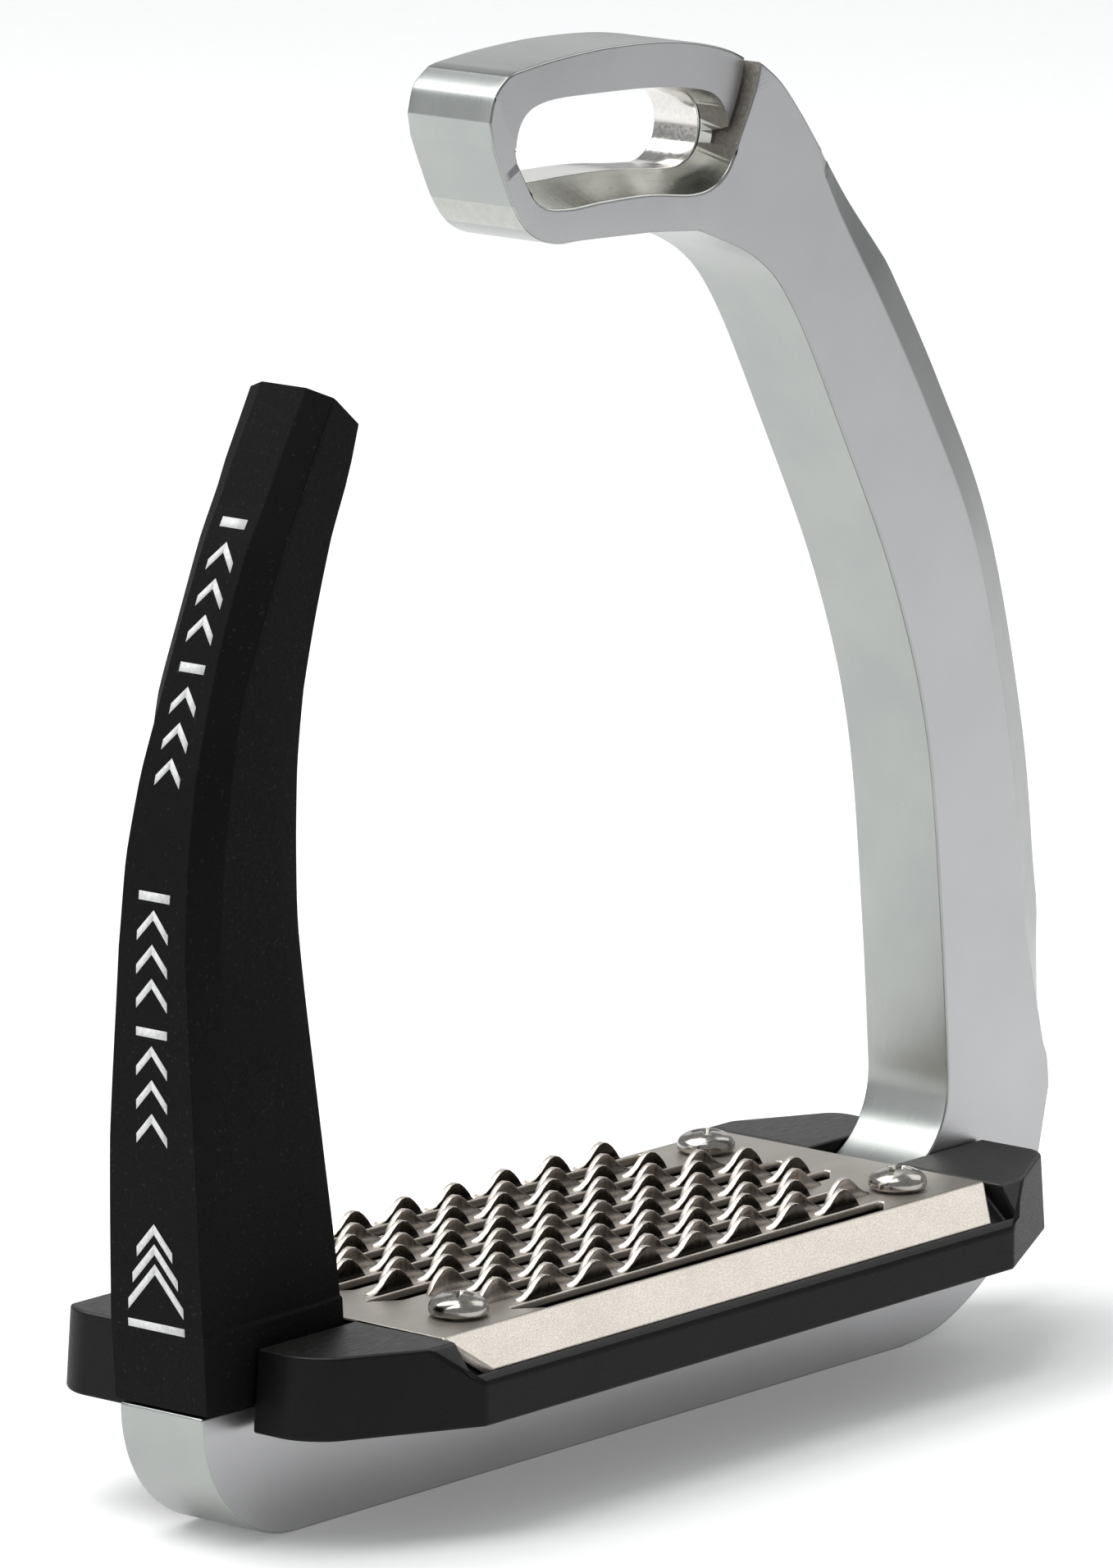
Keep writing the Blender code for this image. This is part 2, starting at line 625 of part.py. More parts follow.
def build_plate_screw(name, centre, parts, cutters):
    head = PLATE_SCREW_HEAD / 2
    shank = PLATE_SCREW_SHANK / 2
    height = PLATE_SCREW_HEIGHT
    rise = GAP
    dome = [(head * cos(radians(a)), rise + height * (0.28 + 0.72 * sin(radians(a))))
            for a in (0, 20, 40, 60, 76)]
    profile = [(0, -PLATE_SCREW_LENGTH), (shank * 0.7, -PLATE_SCREW_LENGTH),
               (shank, -PLATE_SCREW_LENGTH + 0.9), (shank, rise), (head * 0.94, rise),
               (head, rise + height * 0.1), *dome, (0, rise + height)]
    screw = keep(turned(profile, centre, 28), name, parts, "steel")
    boolean(screw, cross_recess(centre, rise + height, *PLATE_CROSS, f"cut_{name}", cutters))
    return screw


def build_carrier_screw(name, x, parts, cutters):
    top = -PLATE_SHEET - GAP - PAD_SHELF - GAP
    head = CARRIER_SCREW_HEAD / 2 - GAP / 2
    shank = CARRIER_SCREW_SHANK / 2
    profile = [(0, top - CARRIER_SCREW_LENGTH), (shank * 0.7, top - CARRIER_SCREW_LENGTH),
               (shank, top - CARRIER_SCREW_LENGTH + 1), (shank, top - head + shank - GAP),
               (head, top - GAP), (0, top - GAP)]
    screw = keep(turned(profile, (x, 0), 24), name, parts, "steel")
    boolean(screw, cross_recess((x, 0), top - GAP, *CARRIER_CROSS, f"cut_{name}", cutters))
    return screw


# release arm -----------------------------------------------------------------------------

def arm_ring(height, outer, bevel, inner, half_outer, half_depth, lean=0.0):
    """Plan of the arm at one height, eight points. lean raises the outer side."""
    soft = half_depth - ARM_SOFT_EDGE[1]
    edge = inner - ARM_SOFT_EDGE[0]
    plan = [(outer, -half_outer), (bevel, -half_depth), (edge, -half_depth), (inner, -soft),
            (inner, soft), (edge, half_depth), (bevel, half_depth), (outer, half_outer)]
    return [(x, y, height + lean * (inner - x) / (inner - outer)) for x, y in plan]


def arm_section_at(height):
    """The arm's section at any height, between the named ones."""
    for low, high in zip(ARM_SECTIONS, ARM_SECTIONS[1:]):
        if low[0] <= height <= high[0]:
            t = (height - low[0]) / (high[0] - low[0])
            return tuple(a + (b - a) * t for a, b in zip(low, high))
    return ARM_SECTIONS[-1]


def build_arm_root(parts, cutters):
    top = ARM_SPLIT - GAP / 2
    sections = [s for s in ARM_SECTIONS if s[0] < top] + [(top, *arm_section_at(top)[1:])]
    root = keep(skin([arm_ring(*s) for s in sections]), "release_arm_root", parts, "elastomer")
    long, wide, tall = INSERT_SIZE
    centre = ARM_BOLT_X - INSERT_OFFSET
    low = ARM_SECTIONS[0][0]
    boolean(root, cutter(block(centre - long / 2 - GAP, centre + long / 2 + GAP,
                               -wide / 2 - GAP, wide / 2 + GAP, low - 1,
                               low + tall + 2 * GAP), "cut_insert_pocket", cutters))
    return root


def build_arm(parts):
    bottom = ARM_SPLIT + GAP / 2
    sections = [(bottom, *arm_section_at(bottom)[1:])]
    sections += [s for s in ARM_SECTIONS if s[0] > bottom]
    rings = [arm_ring(*s) for s in sections]
    x_out, z_out = ARM_TIP_OUTER
    x_in, z_in = ARM_TIP_INNER
    _, outer, bevel, inner, half_outer, half_depth = ARM_SECTIONS[-1]
    x_bevel = x_out + (x_in - x_out) * (bevel - outer) / (inner - outer)
    rings.append(arm_ring(z_in, x_out, x_bevel, x_in, half_outer, half_depth, z_out - z_in))
    arm = keep(skin(rings), "release_arm", parts, "elastomer")
    pivot = Vector((ARM_SECTIONS[2][1], 0, ARM_SPLIT)) * MM
    arm.data.transform(Matrix.Translation(-pivot))
    arm.location = pivot
    return arm


def build_arm_insert(parts, cutters):
    long, wide, tall = INSERT_SIZE
    centre = ARM_BOLT_X - INSERT_OFFSET
    low = ARM_SECTIONS[0][0]
    insert = keep(block(centre - long / 2, centre + long / 2, -wide / 2, wide / 2, low,
                        low + tall), "arm_insert", parts, "steel")
    boolean(insert, drill(ARM_BOLT_SHANK / 2 + GAP / 2, (ARM_BOLT_X, 0), low - 1,
                          low + tall + 1, "cut_insert", cutters))
    return insert


def build_arm_bolt(parts, cutters):
    x = ARM_BOLT_X
    seat = BAR_BOTTOM + BOLT_SEAT - GAP
    head = ARM_BOLT_HEAD / 2
    shank = ARM_BOLT_SHANK / 2
    low = seat - ARM_BOLT_HEAD_HEIGHT
    top = ARM_SECTIONS[0][0] + INSERT_SIZE[2] - 0.5
    profile = [(0, low), (head - 0.5, low), (head, low + 0.5), (head, seat), (shank, seat),
               (shank, top - 0.8), (shank * 0.7, top), (0, top)]
    bolt = keep(turned(profile, (x, 0), 24), "arm_bolt", parts, "steel")
    socket = turned([(0, low - 1), (SOCKET_RADIUS, low - 1), (SOCKET_RADIUS, low + SOCKET_DEPTH),
                     (0, low + SOCKET_DEPTH)], (x, 0), 6)
    boolean(bolt, cutter(socket, "cut_arm_bolt_socket", cutters))
    return bolt


# assembly --------------------------------------------------------------------------------

def clear_scene():
    for thing in list(bpy.data.objects):
        bpy.data.objects.remove(thing, do_unlink=True)


def smooth_round_pieces(things):
    for thing in things:
        thing.data.polygons.foreach_set("use_smooth", [True] * len(thing.data.polygons))


def main():
    clear_scene()
    parts = collection("stirrup_iron")
    cutters = collection("cutters")
    build_frame(parts, cutters)
    build_eye_liner(parts, cutters)
    build_pad(parts, cutters)
    build_carrier(parts, cutters)
    build_grip_plate(parts, cutters)
    screws = []
    for side_x, x in (("left", -PLATE_SCREW_X), ("right", PLATE_SCREW_X)):
        for side_y, y in (("front", -PLATE_SCREW_Y), ("back", PLATE_SCREW_Y)):
            screws.append(build_plate_screw(f"plate_screw_{side_y}_{side_x}", (x, y), parts,
                                            cutters))
        screws.append(build_carrier_screw(f"carrier_screw_{side_x}",
                                          CARRIER_SCREW_X * (1 if x > 0 else -1), parts,
                                          cutters))
    build_arm_root(parts, cutters)
    build_arm(parts)
    build_arm_insert(parts, cutters)
    screws.append(build_arm_bolt(parts, cutters))
    smooth_round_pieces(screws)
    hang = Vector((0, 0, BEARING_Z)) * MM
    for thing in (*parts.objects, *cutters.objects):
        thing.location -= hang


main()
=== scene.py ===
from math import cos, pi, radians, sin

import bmesh
import bpy
from mathutils import Matrix, Vector
from mathutils.bvhtree import BVHTree


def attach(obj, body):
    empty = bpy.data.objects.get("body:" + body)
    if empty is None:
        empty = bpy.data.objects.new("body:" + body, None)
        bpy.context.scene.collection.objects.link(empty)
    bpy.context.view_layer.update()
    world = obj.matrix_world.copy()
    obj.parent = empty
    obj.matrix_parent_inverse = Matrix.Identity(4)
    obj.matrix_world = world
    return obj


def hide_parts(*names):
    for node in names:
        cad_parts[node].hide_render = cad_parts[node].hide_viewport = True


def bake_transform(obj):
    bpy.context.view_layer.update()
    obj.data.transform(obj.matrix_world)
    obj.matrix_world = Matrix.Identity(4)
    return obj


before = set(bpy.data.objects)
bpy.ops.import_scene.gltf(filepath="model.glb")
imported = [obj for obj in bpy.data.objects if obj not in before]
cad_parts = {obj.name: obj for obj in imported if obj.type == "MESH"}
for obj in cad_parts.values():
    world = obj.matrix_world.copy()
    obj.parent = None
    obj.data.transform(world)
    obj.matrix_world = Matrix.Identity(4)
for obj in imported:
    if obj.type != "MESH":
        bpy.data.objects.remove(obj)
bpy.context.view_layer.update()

# Lengths are millimetres from the middle of the grip plate's top face.
# bearingZ is the height there of the eye's roof, which is the model's origin.
bearingZ = 146.5
toModel = Matrix.Scale(0.001, 4) @ Matrix.Translation((0, 0, -bearingZ))


def hexColour(text):
    channels = [int(text[i:i + 2], 16) / 255 for i in (1, 3, 5)]
    linear = [c / 12.92 if c < 0.04045 else ((c + 0.055) / 1.055) ** 2.4 for c in channels]
    return (*linear, 1.0)


def addNode(tree, kind, links=None, **settings):
    node = tree.nodes.new(kind)
    for name, value in settings.items():
        setattr(node, name, value)
    for name, value in (links or {}).items():
        if isinstance(value, bpy.types.NodeSocket):
            tree.links.new(value, node.inputs[name])
        else:
            node.inputs[name].default_value = value
    return node


def newMaterial(name, **sockets):
    made = bpy.data.materials.new(name)
    made.use_nodes = True
    shader = made.node_tree.nodes["Principled BSDF"]
    for socket, value in sockets.items():
        shader.inputs[socket.replace("_", " ")].default_value = value
    return made, made.node_tree, shader


def colourRamp(tree, source, stops):
    ramp = addNode(tree, "ShaderNodeValToRGB", {"Fac": source})
    band = ramp.color_ramp
    while len(band.elements) < len(stops):
        band.elements.new(0.5)
    for element, (place, colour) in zip(band.elements, stops):
        element.position = place
        element.color = hexColour(colour)
    return ramp.outputs["Color"]


def valueRange(tree, source, low, high, fromLow=0.3, fromHigh=0.7):
    return addNode(tree, "ShaderNodeMapRange", {
        "Value": source, "From Min": fromLow, "From Max": fromHigh,
        "To Min": low, "To Max": high}).outputs["Result"]


def noiseAt(tree, millimetres, detail=3.0, stretch=(1, 1, 1)):
    # noise whose blobs are about that size, drawn out along an axis by stretch
    coords = addNode(tree, "ShaderNodeTexCoord")
    scaled = addNode(tree, "ShaderNodeMapping", {
        "Vector": coords.outputs["Object"], "Scale": [1 / s for s in stretch]})
    return addNode(tree, "ShaderNodeTexNoise", {
        "Vector": scaled.outputs["Vector"], "Scale": 1000 / millimetres,
        "Detail": detail, "Roughness": 0.6}).outputs["Fac"]


def bumpFrom(tree, shader, source, depth, strength=1.0):
    bump = addNode(tree, "ShaderNodeBump", {
        "Height": source, "Distance": depth * 0.001, "Strength": strength})
    tree.links.new(bump.outputs["Normal"], shader.inputs["Normal"])


def curveThrough(points, steps, closed=False):
    # smooth curve through the points, ends included
    if closed:
        around = [points[-1], *points, points[0], points[1]]
    else:
        around = [points[0], *points, points[-1]]
    out = []
    for a, b, c, d in zip(around, around[1:], around[2:], around[3:]):
        for i in range(steps):
            t = i / steps
            out.append(tuple(
                0.5 * (2 * q + (r - p) * t + (2 * p - 5 * q + 4 * r - s) * t * t
                       + (3 * q - p - 3 * r + s) * t ** 3)
                for p, q, r, s in zip(a, b, c, d)))
    return out if closed else out + [tuple(points[-1])]


def arcPoints(centre, radius, start, end, steps):
    angles = [radians(start + (end - start) * i / steps) for i in range(steps + 1)]
    return [(centre[0] + radius * cos(a), centre[1] + radius * sin(a)) for a in angles]


def outwardOf(loop, i):
    along = (Vector(loop[(i + 1) % len(loop)]) - Vector(loop[i - 1])).normalized()
    return Vector((along.y, -along.x))


def grownLoop(loop, distance):
    return [tuple(Vector(p) + outwardOf(loop, i) * distance) for i, p in enumerate(loop)]


def loopEdges(bm, points):
    verts = [bm.verts.new(p) for p in points]
    return [bm.edges.new((verts[i - 1], verts[i])) for i in range(len(verts))]


def loft(bm, rings, capped=True):
    # skin through rings of the same count
    loops = [loopEdges(bm, ring) for ring in rings]
    pairs = list(zip(loops, loops[1:]))
    if not capped:
        pairs.append((loops[-1], loops[0]))
    for one, other in pairs:
        bmesh.ops.bridge_loops(bm, edges=one + other)
    if capped:
        bmesh.ops.contextual_create(bm, geom=loops[0])
        bmesh.ops.contextual_create(bm, geom=loops[-1])
    bmesh.ops.recalc_face_normals(bm, faces=bm.faces)


def prismY(outline, front, back):
    bm = bmesh.new()
    loft(bm, [[(x, y, z) for x, z in outline] for y in (front, back)])
    return bm


def prismX(outline, left, right):
    bm = bmesh.new()
    loft(bm, [[(x, y, z) for y, z in outline] for x in (left, right)])
    return bm


def prismZ(outline, low, high):
    bm = bmesh.new()
    loft(bm, [[(x, y, z) for x, y in outline] for z in (low, high)])
    return bm


def boxMesh(x0, x1, y0, y1, z0, z1):
    bm = bmesh.new()
    bmesh.ops.create_cube(bm, size=1.0)
    size = Matrix.Diagonal((x1 - x0, y1 - y0, z1 - z0, 1))
    middle = Matrix.Translation(((x0 + x1) / 2, (y0 + y1) / 2, (z0 + z1) / 2))
    bm.transform(middle @ size)
    return bm


def rodMesh(x, y, radius, low, high, segments=40):
    bm = bmesh.new()
    bmesh.ops.create_cone(bm, cap_ends=True, segments=segments, radius1=radius,
                          radius2=radius, depth=high - low)
    bm.transform(Matrix.Translation((x, y, (low + high) / 2)))
    return bm


def turnedMesh(profile, segments=48):
    # spins (radius, height) points that start and end on the vertical axis
    bm = bmesh.new()
    verts = [bm.verts.new((r, 0, z)) for r, z in profile]
    edges = [bm.edges.new(pair) for pair in zip(verts, verts[1:])]
    bmesh.ops.spin(bm, geom=verts + edges, cent=(0, 0, 0), axis=(0, 0, 1), angle=2 * pi,
                   steps=segments, use_merge=True)
    bmesh.ops.remove_doubles(bm, verts=bm.verts, dist=0.0005)
    bmesh.ops.recalc_face_normals(bm, faces=bm.faces)
    return bm


def asObject(bm, name):
    data = bpy.data.meshes.new(name)
    bm.to_mesh(data)
    bm.free()
    made = bpy.data.objects.new(name, data)
    bpy.context.scene.collection.objects.link(made)
    return made


def withCuts(body, tools):
    # body with each tool taken away
    target = asObject(body, "blank")
    helpers = [asObject(tool, "tool") for tool in tools]
    for helper in helpers:
        step = target.modifiers.new("cut", "BOOLEAN")
        step.solver = "EXACT"
        step.operation = "DIFFERENCE"
        step.object = helper
    graph = bpy.context.evaluated_depsgraph_get()
    cutMesh = bpy.data.meshes.new_from_object(target.evaluated_get(graph))
    out = bmesh.new()
    out.from_mesh(cutMesh)
    for thing in (target, *helpers):
        bpy.data.objects.remove(thing)
    bmesh.ops.remove_doubles(out, verts=out.verts, dist=0.004)
    bmesh.ops.dissolve_degenerate(out, edges=out.edges, dist=0.004)
    return out


def sharpEdges(bm, degrees, keep=None):
    limit = radians(degrees)
    return [e for e in bm.edges if len(e.link_faces) == 2
            and e.calc_face_angle() > limit and (keep is None or keep(e))]


def roundOver(bm, width, degrees=25, segments=3, keep=None, clamp=False):
    bmesh.ops.triangulate(bm, faces=[f for f in bm.faces if len(f.verts) > 4])
    before = BVHTree.FromBMesh(bm)
    edges = sharpEdges(bm, degrees, keep)
    bmesh.ops.bevel(bm, geom=edges, offset=width, offset_type="OFFSET",
                    affect="EDGES", segments=segments, profile=0.5, material=-1,
                    clamp_overlap=clamp)
    # where short edges meet, the bevel can throw a corner out: bring those back
    for vert in bm.verts:
        place, _, _, away = before.find_nearest(vert.co)
        if away > width:
            vert.co = place


def finishPiece(bm, name, material, body="iron", replaces=(), smoothTo=32, sharp=None,
                weighted=True):
    bmesh.ops.recalc_face_normals(bm, faces=bm.faces)
    for face in bm.faces:
        face.smooth = True
    for edge in bm.edges:
        flat = len(edge.link_faces) == 2 and edge.calc_face_angle() > radians(smoothTo)
        edge.smooth = not (flat or (sharp is not None and sharp(edge)))
    bm.transform(toModel)
    made = asObject(bm, name)
    made.data.materials.append(material)
    if weighted:
        normals = made.modifiers.new("flat faces stay flat", "WEIGHTED_NORMAL")
        normals.keep_sharp = True
        normals.weight = 90
    if body:
        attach(made, body)
    if replaces:
        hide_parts(*replaces)
    return made


def satinAluminium():
    # Cast aluminium, tumbled to a satin: wide soft reflections over a very fine grain.
    made, tree, shader = newMaterial("satinAluminium", Metallic=1.0)
    grain = noiseAt(tree, 0.25, 4.0)
    cloud = noiseAt(tree, 22.0, 2.0)
    tree.links.new(colourRamp(tree, cloud, [(0.3, "#B8B8B9"), (0.7, "#BEBEBF")]),
                   shader.inputs["Base Color"])
    tree.links.new(valueRange(tree, grain, 0.30, 0.40), shader.inputs["Roughness"])
    bumpFrom(tree, shader, grain, 0.010)
    return made


def brushedAluminium():
    # The same casting, belt brushed round its edges: fine lines that run with the outline.
    made, tree, shader = newMaterial("brushedAluminium", Metallic=1.0)
    lines = noiseAt(tree, 0.35, 4.0, (14, 1, 14))
    cloud = noiseAt(tree, 16.0, 2.0)
    tree.links.new(colourRamp(tree, cloud, [(0.3, "#A0A3A1"), (0.7, "#A8ABA8")]),
                   shader.inputs["Base Color"])
    tree.links.new(valueRange(tree, lines, 0.27, 0.33), shader.inputs["Roughness"])
    bumpFrom(tree, shader, lines, 0.0025)
    return made


def mouthAluminium():
    # The casting inside the eye, buffed where the leather runs: darker, smooth, slightly streaked.
    made, tree, shader = newMaterial("mouthAluminium", Metallic=1.0)
    streaks = noiseAt(tree, 1.2, 3.0, (6, 1, 1))
    tree.links.new(colourRamp(tree, streaks, [(0.3, "#A9ABA6"), (0.7, "#B5B7B2")]),
                   shader.inputs["Base Color"])
    tree.links.new(valueRange(tree, streaks, 0.20, 0.28), shader.inputs["Roughness"])
    return made


def castSkinMetal():
    # Unfinished casting skin on the step beside the top bar: dull brown grey, a little pitted.
    made, tree, shader = newMaterial("castSkin", Metallic=0.6)
    pits = noiseAt(tree, 0.5, 4.0)
    tree.links.new(colourRamp(tree, pits, [(0.3, "#7C7771"), (0.7, "#98938C")]),
                   shader.inputs["Base Color"])
    tree.links.new(valueRange(tree, pits, 0.5, 0.65), shader.inputs["Roughness"])
    bumpFrom(tree, shader, pits, 0.05)
    return made


def polishedSteel():
    # Stainless steel, polished by wheel: clear reflections and faint arcs from the wheel.
    made, tree, shader = newMaterial("polishedSteel", Metallic=1.0)
    marks = noiseAt(tree, 0.5, 3.0, (8, 1, 1))
    tree.links.new(colourRamp(tree, marks, [(0.3, "#C9C7C3"), (0.7, "#D8D6D2")]),
                   shader.inputs["Base Color"])
    tree.links.new(valueRange(tree, marks, 0.10, 0.22), shader.inputs["Roughness"])
    return made


def blastedSheet():
    # Nickel plated sheet, punched and bead blasted: warm grey with a fine sparkle.
    made, tree, shader = newMaterial("blastedSheet", Metallic=1.0)
    beads = noiseAt(tree, 0.22, 2.0)
    cloud = noiseAt(tree, 9.0, 3.0)
    tree.links.new(colourRamp(tree, cloud, [(0.3, "#D6CEC5"), (0.7, "#DDD6CD")]),
                   shader.inputs["Base Color"])
    tree.links.new(valueRange(tree, beads, 0.34, 0.50), shader.inputs["Roughness"])
    bumpFrom(tree, shader, beads, 0.03)
    return made


def shadedTopSheet():
    # The sheet's level top: a greyer tone than the flange, as painted shade, and a finer sparkle.
    made, tree, shader = newMaterial("shadedTopSheet", Metallic=1.0)
    beads = noiseAt(tree, 0.22, 2.0)
    dulled = noiseAt(tree, 4.0, 4.0, (3, 1, 1))
    tree.links.new(colourRamp(tree, dulled, [(0.3, "#AEA8A0"), (0.7, "#B9B3AB")]),
                   shader.inputs["Base Color"])
    tree.links.new(valueRange(tree, beads, 0.36, 0.50), shader.inputs["Roughness"])
    bumpFrom(tree, shader, beads, 0.02)
    return made


def pressedTeeth(name, low, high):
    # Teeth bent out of the sheet: streaked by the punch, in tones set darker than the flat sheet
    # as painted shade, and painted shade going near black down in the slots.
    made, tree, shader = newMaterial(name, Metallic=1.0)
    beads = noiseAt(tree, 0.3, 2.0)
    streaks = noiseAt(tree, 0.6, 3.0, (1, 1, 5))
    tone = colourRamp(tree, streaks, [(0.3, low), (0.7, high)])
    coords = addNode(tree, "ShaderNodeTexCoord")
    height = addNode(tree, "ShaderNodeSeparateXYZ", {"Vector": coords.outputs["Object"]})
    # from the foot of a tooth to halfway up it, as metres from the bearing
    rise = valueRange(tree, height.outputs["Z"], 0.15, 1.0, -0.1468, -0.1451)
    # painted shade: the colour falls to near black toward a tooth's foot, down in the slot
    mixed = addNode(tree, "ShaderNodeMix", {"Factor": rise}, data_type="RGBA")
    mixed.inputs[6].default_value = hexColour("#2A2622")
    tree.links.new(tone, mixed.inputs[7])
    tree.links.new(mixed.outputs[2], shader.inputs["Base Color"])
    tree.links.new(valueRange(tree, streaks, 0.24, 0.42), shader.inputs["Roughness"])
    bumpFrom(tree, shader, beads, 0.02)
    return made


def mattElastomer():
    # Polyurethane rubber from a matt mould: near black, with dust specks that stay on it.
    made, tree, shader = newMaterial("mattElastomer")
    shader.inputs["Specular IOR Level"].default_value = 0.12
    skin = noiseAt(tree, 0.35, 4.0)
    specks = noiseAt(tree, 0.5, 0.0)
    cloud = noiseAt(tree, 18.0, 3.0)
    base = colourRamp(tree, cloud, [(0.3, "#070707"), (0.7, "#0A0A0A")])
    dust = valueRange(tree, specks, 0.0, 0.3, 0.74, 0.8)
    mixed = addNode(tree, "ShaderNodeMix", {"Factor": dust}, data_type="RGBA")
    tree.links.new(base, mixed.inputs[6])
    mixed.inputs[7].default_value = hexColour("#35322F")
    tree.links.new(mixed.outputs[2], shader.inputs["Base Color"])
    tree.links.new(valueRange(tree, skin, 0.62, 0.8), shader.inputs["Roughness"])
    bumpFrom(tree, shader, skin, 0.02)
    return made


def mouldedNylon():
    # Glass filled nylon, injection moulded: charcoal with a spark eroded grain.
    made, tree, shader = newMaterial("mouldedNylon")
    shader.inputs["Specular IOR Level"].default_value = 0.18
    grain = noiseAt(tree, 0.3, 3.0)
    cloud = noiseAt(tree, 12.0, 3.0)
    tree.links.new(colourRamp(tree, cloud, [(0.3, "#080707"), (0.7, "#0C0B0B")]),
                   shader.inputs["Base Color"])
    tree.links.new(valueRange(tree, grain, 0.42, 0.58), shader.inputs["Roughness"])
    bumpFrom(tree, shader, grain, 0.03)
    return made


def topSheenNylon():
    # The same nylon on its upward faces: a lighter colour as painted sheen, smoother, with fine
    # scuffs along the tread.
    made, tree, shader = newMaterial("topSheenNylon")
    shader.inputs["Specular IOR Level"].default_value = 0.45
    scuffs = noiseAt(tree, 0.5, 4.0, (5, 1, 1))
    tree.links.new(colourRamp(tree, scuffs, [(0.3, "#171615"), (0.7, "#262422")]),
                   shader.inputs["Base Color"])
    tree.links.new(valueRange(tree, scuffs, 0.38, 0.55), shader.inputs["Roughness"])
    bumpFrom(tree, shader, scuffs, 0.015)
    return made


def screwSteel():
    # Stainless screw heads, barrel polished: bright with deep reflections.
    made, tree, shader = newMaterial("screwSteel", Metallic=1.0)
    marks = noiseAt(tree, 0.8, 3.0)
    tree.links.new(colourRamp(tree, marks, [(0.3, "#A29E98"), (0.7, "#B8B4AE")]),
                   shader.inputs["Base Color"])
    tree.links.new(valueRange(tree, marks, 0.12, 0.24), shader.inputs["Roughness"])
    return made


def padPrint():
    # Pale pad printing ink: flat, a little worn.
    made, tree, shader = newMaterial("padPrint", Roughness=0.6)
    wear = noiseAt(tree, 0.6, 3.0)
    tree.links.new(colourRamp(tree, wear, [(0.3, "#C4C4C4"), (0.6, "#DCDCDC")]),
                   shader.inputs["Base Color"])
    return made


satin = satinAluminium()
brushed = brushedAluminium()
mouthMetal = mouthAluminium()
castSkin = castSkinMetal()
steel = polishedSteel()
sheetMetal = blastedSheet()
shadedTopMetal = shadedTopSheet()
# the teeth take a darker copy of the sheet's colour, as painted shade
toothMetal = pressedTeeth("pressedTeeth", "#9A9187", "#B8AEA3")
# a still darker copy for the teeth on the far edge of each slot, as painted shade
toothPaintedShade = pressedTeeth("pressedTeethPaintedShade", "#3B3631", "#5E574F")
elastomer = mattElastomer()
nylon = mouldedNylon()
topSheen = topSheenNylon()
headSteel = screwSteel()
ink = padPrint()
print("materials made")


frameShape = {
    "halfDepth": 6.8,
    "barLeft": -80.5,
    "barTop": -7.5,
    "barBottom": -25.1,
    "barCorner": 17.0,
    "footX": 53.8,
    "footRadius": 11.0,
    "chamferWide": 5.6,
    "chamferDeep": 2.1,
    "footFade": 24.0,       # length over which the chamfer grows at the foot
    "shoulder": 3.0,        # its width where it ends beside the eye
    "spread": 0.13,         # and how much it widens per millimetre from there
    "runOut": 0.65,         # and how fast it closes past that end,
    "runOutSteps": 12,      # over so many points of the outline
    "mouthDeep": 5.9,       # flared mouth of the eye, in front of the liner
    "recessFrom": (-21.5, 142.0),
    "recessToward": (0.884, 0.466),     # the recessed face deepens this way
    "recessSlope": 0.047,
    "grooveWide": 0.9,
    "grooveDeep": 2.4,
    "boltX": -62.5,
    "boltHole": 2.8,
    "boltHead": 4.3,
    "boltSeat": -14.1,
    "edgeRound": 0.3,
    "steps": 8,
}


def framePlan():
    # outline as (x, z), with how far the middle of the depth stands out from it
    f = frameShape
    n = f["steps"]
    corner = arcPoints((f["barLeft"] + f["barCorner"], f["barBottom"] + f["barCorner"]),
                       f["barCorner"], 180, 270, 24)
    foot = curveThrough([(56.0, f["barBottom"]), (64.0, -23.9), (73.0, -19.6), (80.0, -13.6),
                         (84.2, -6.0)], n)
    ridge = curveThrough([(86.7, 4.5), (86.3, 8.4), (84.9, 12.4), (80.8, 29.0),
                          (77.6, 52.0), (70.4, 79.0), (60.2, 98.5), (50.4, 114.0),
                          (43.2, 124.5), (38.9, 131.8)], n)
    top = curveThrough([(38.3, 134.8), (33.9, 140.4), (29.0, 145.4), (22.0, 149.2),
                        (11.0, 151.6), (-2.0, 152.4), (-13.0, 152.1), (-21.0, 151.4)], n)
    tip = curveThrough([(-22.4, 151.1), (-25.2, 149.0), (-26.3, 145.6)], n)
    side = curveThrough([(-25.8, 142.8), (-24.0, 138.8), (-21.6, 134.2), (-18.4, 130.8),
                         (-13.7, 129.1), (-8.0, 128.9), (4.7, 128.3)], n)
    inner = curveThrough([(14.0, 127.4), (25.5, 122.4), (32.9, 115.0), (42.2, 98.8),
                          (53.6, 76.6), (60.6, 55.3), (63.8, 29.3), (65.3, 9.5)], n)
    heel = arcPoints((f["footX"] + 0.5, f["barTop"] + 16.0), f["footRadius"], 0, -90, 14)
    before = [(f["barLeft"], f["barTop"]), *corner, *foot]
    after = [*top, *tip, *side, *inner, *heel, (f["footX"], f["barTop"])]
    lengths = [0.0]
    for behind, point in zip(ridge, ridge[1:]):
        lengths.append(lengths[-1] + (Vector(point) - Vector(behind)).length)
    reach = [min(f["chamferWide"], f["chamferWide"] * length / f["footFade"],
                 f["shoulder"] + f["spread"] * (lengths[-1] - length)) for length in lengths]
    # past the notch the chamfer runs out within a few millimetres
    closing = [max(0.0, f["shoulder"] - f["runOut"] * (Vector(p) - Vector(ridge[-1])).length)
               for p in after[:f["runOutSteps"]]]
    rest = [0.0] * (len(after) - f["runOutSteps"])
    return before + ridge + after, [0.0] * len(before) + reach + closing + rest


def slotLoop(steps):
    return curveThrough([
        (-21.1, 141.5), (-20.2, 138.3), (-17.3, 136.3), (-12.0, 136.0), (-4.5, 136.0),
        (4.4, 135.7), (13.0, 134.8), (17.3, 134.7), (20.2, 136.4), (21.2, 139.2),
        (20.4, 142.2), (17.0, 144.4), (8.3, 146.0), (-4.2, 146.8), (-15.0, 147.0),
        (-19.6, 145.4)], steps, True)


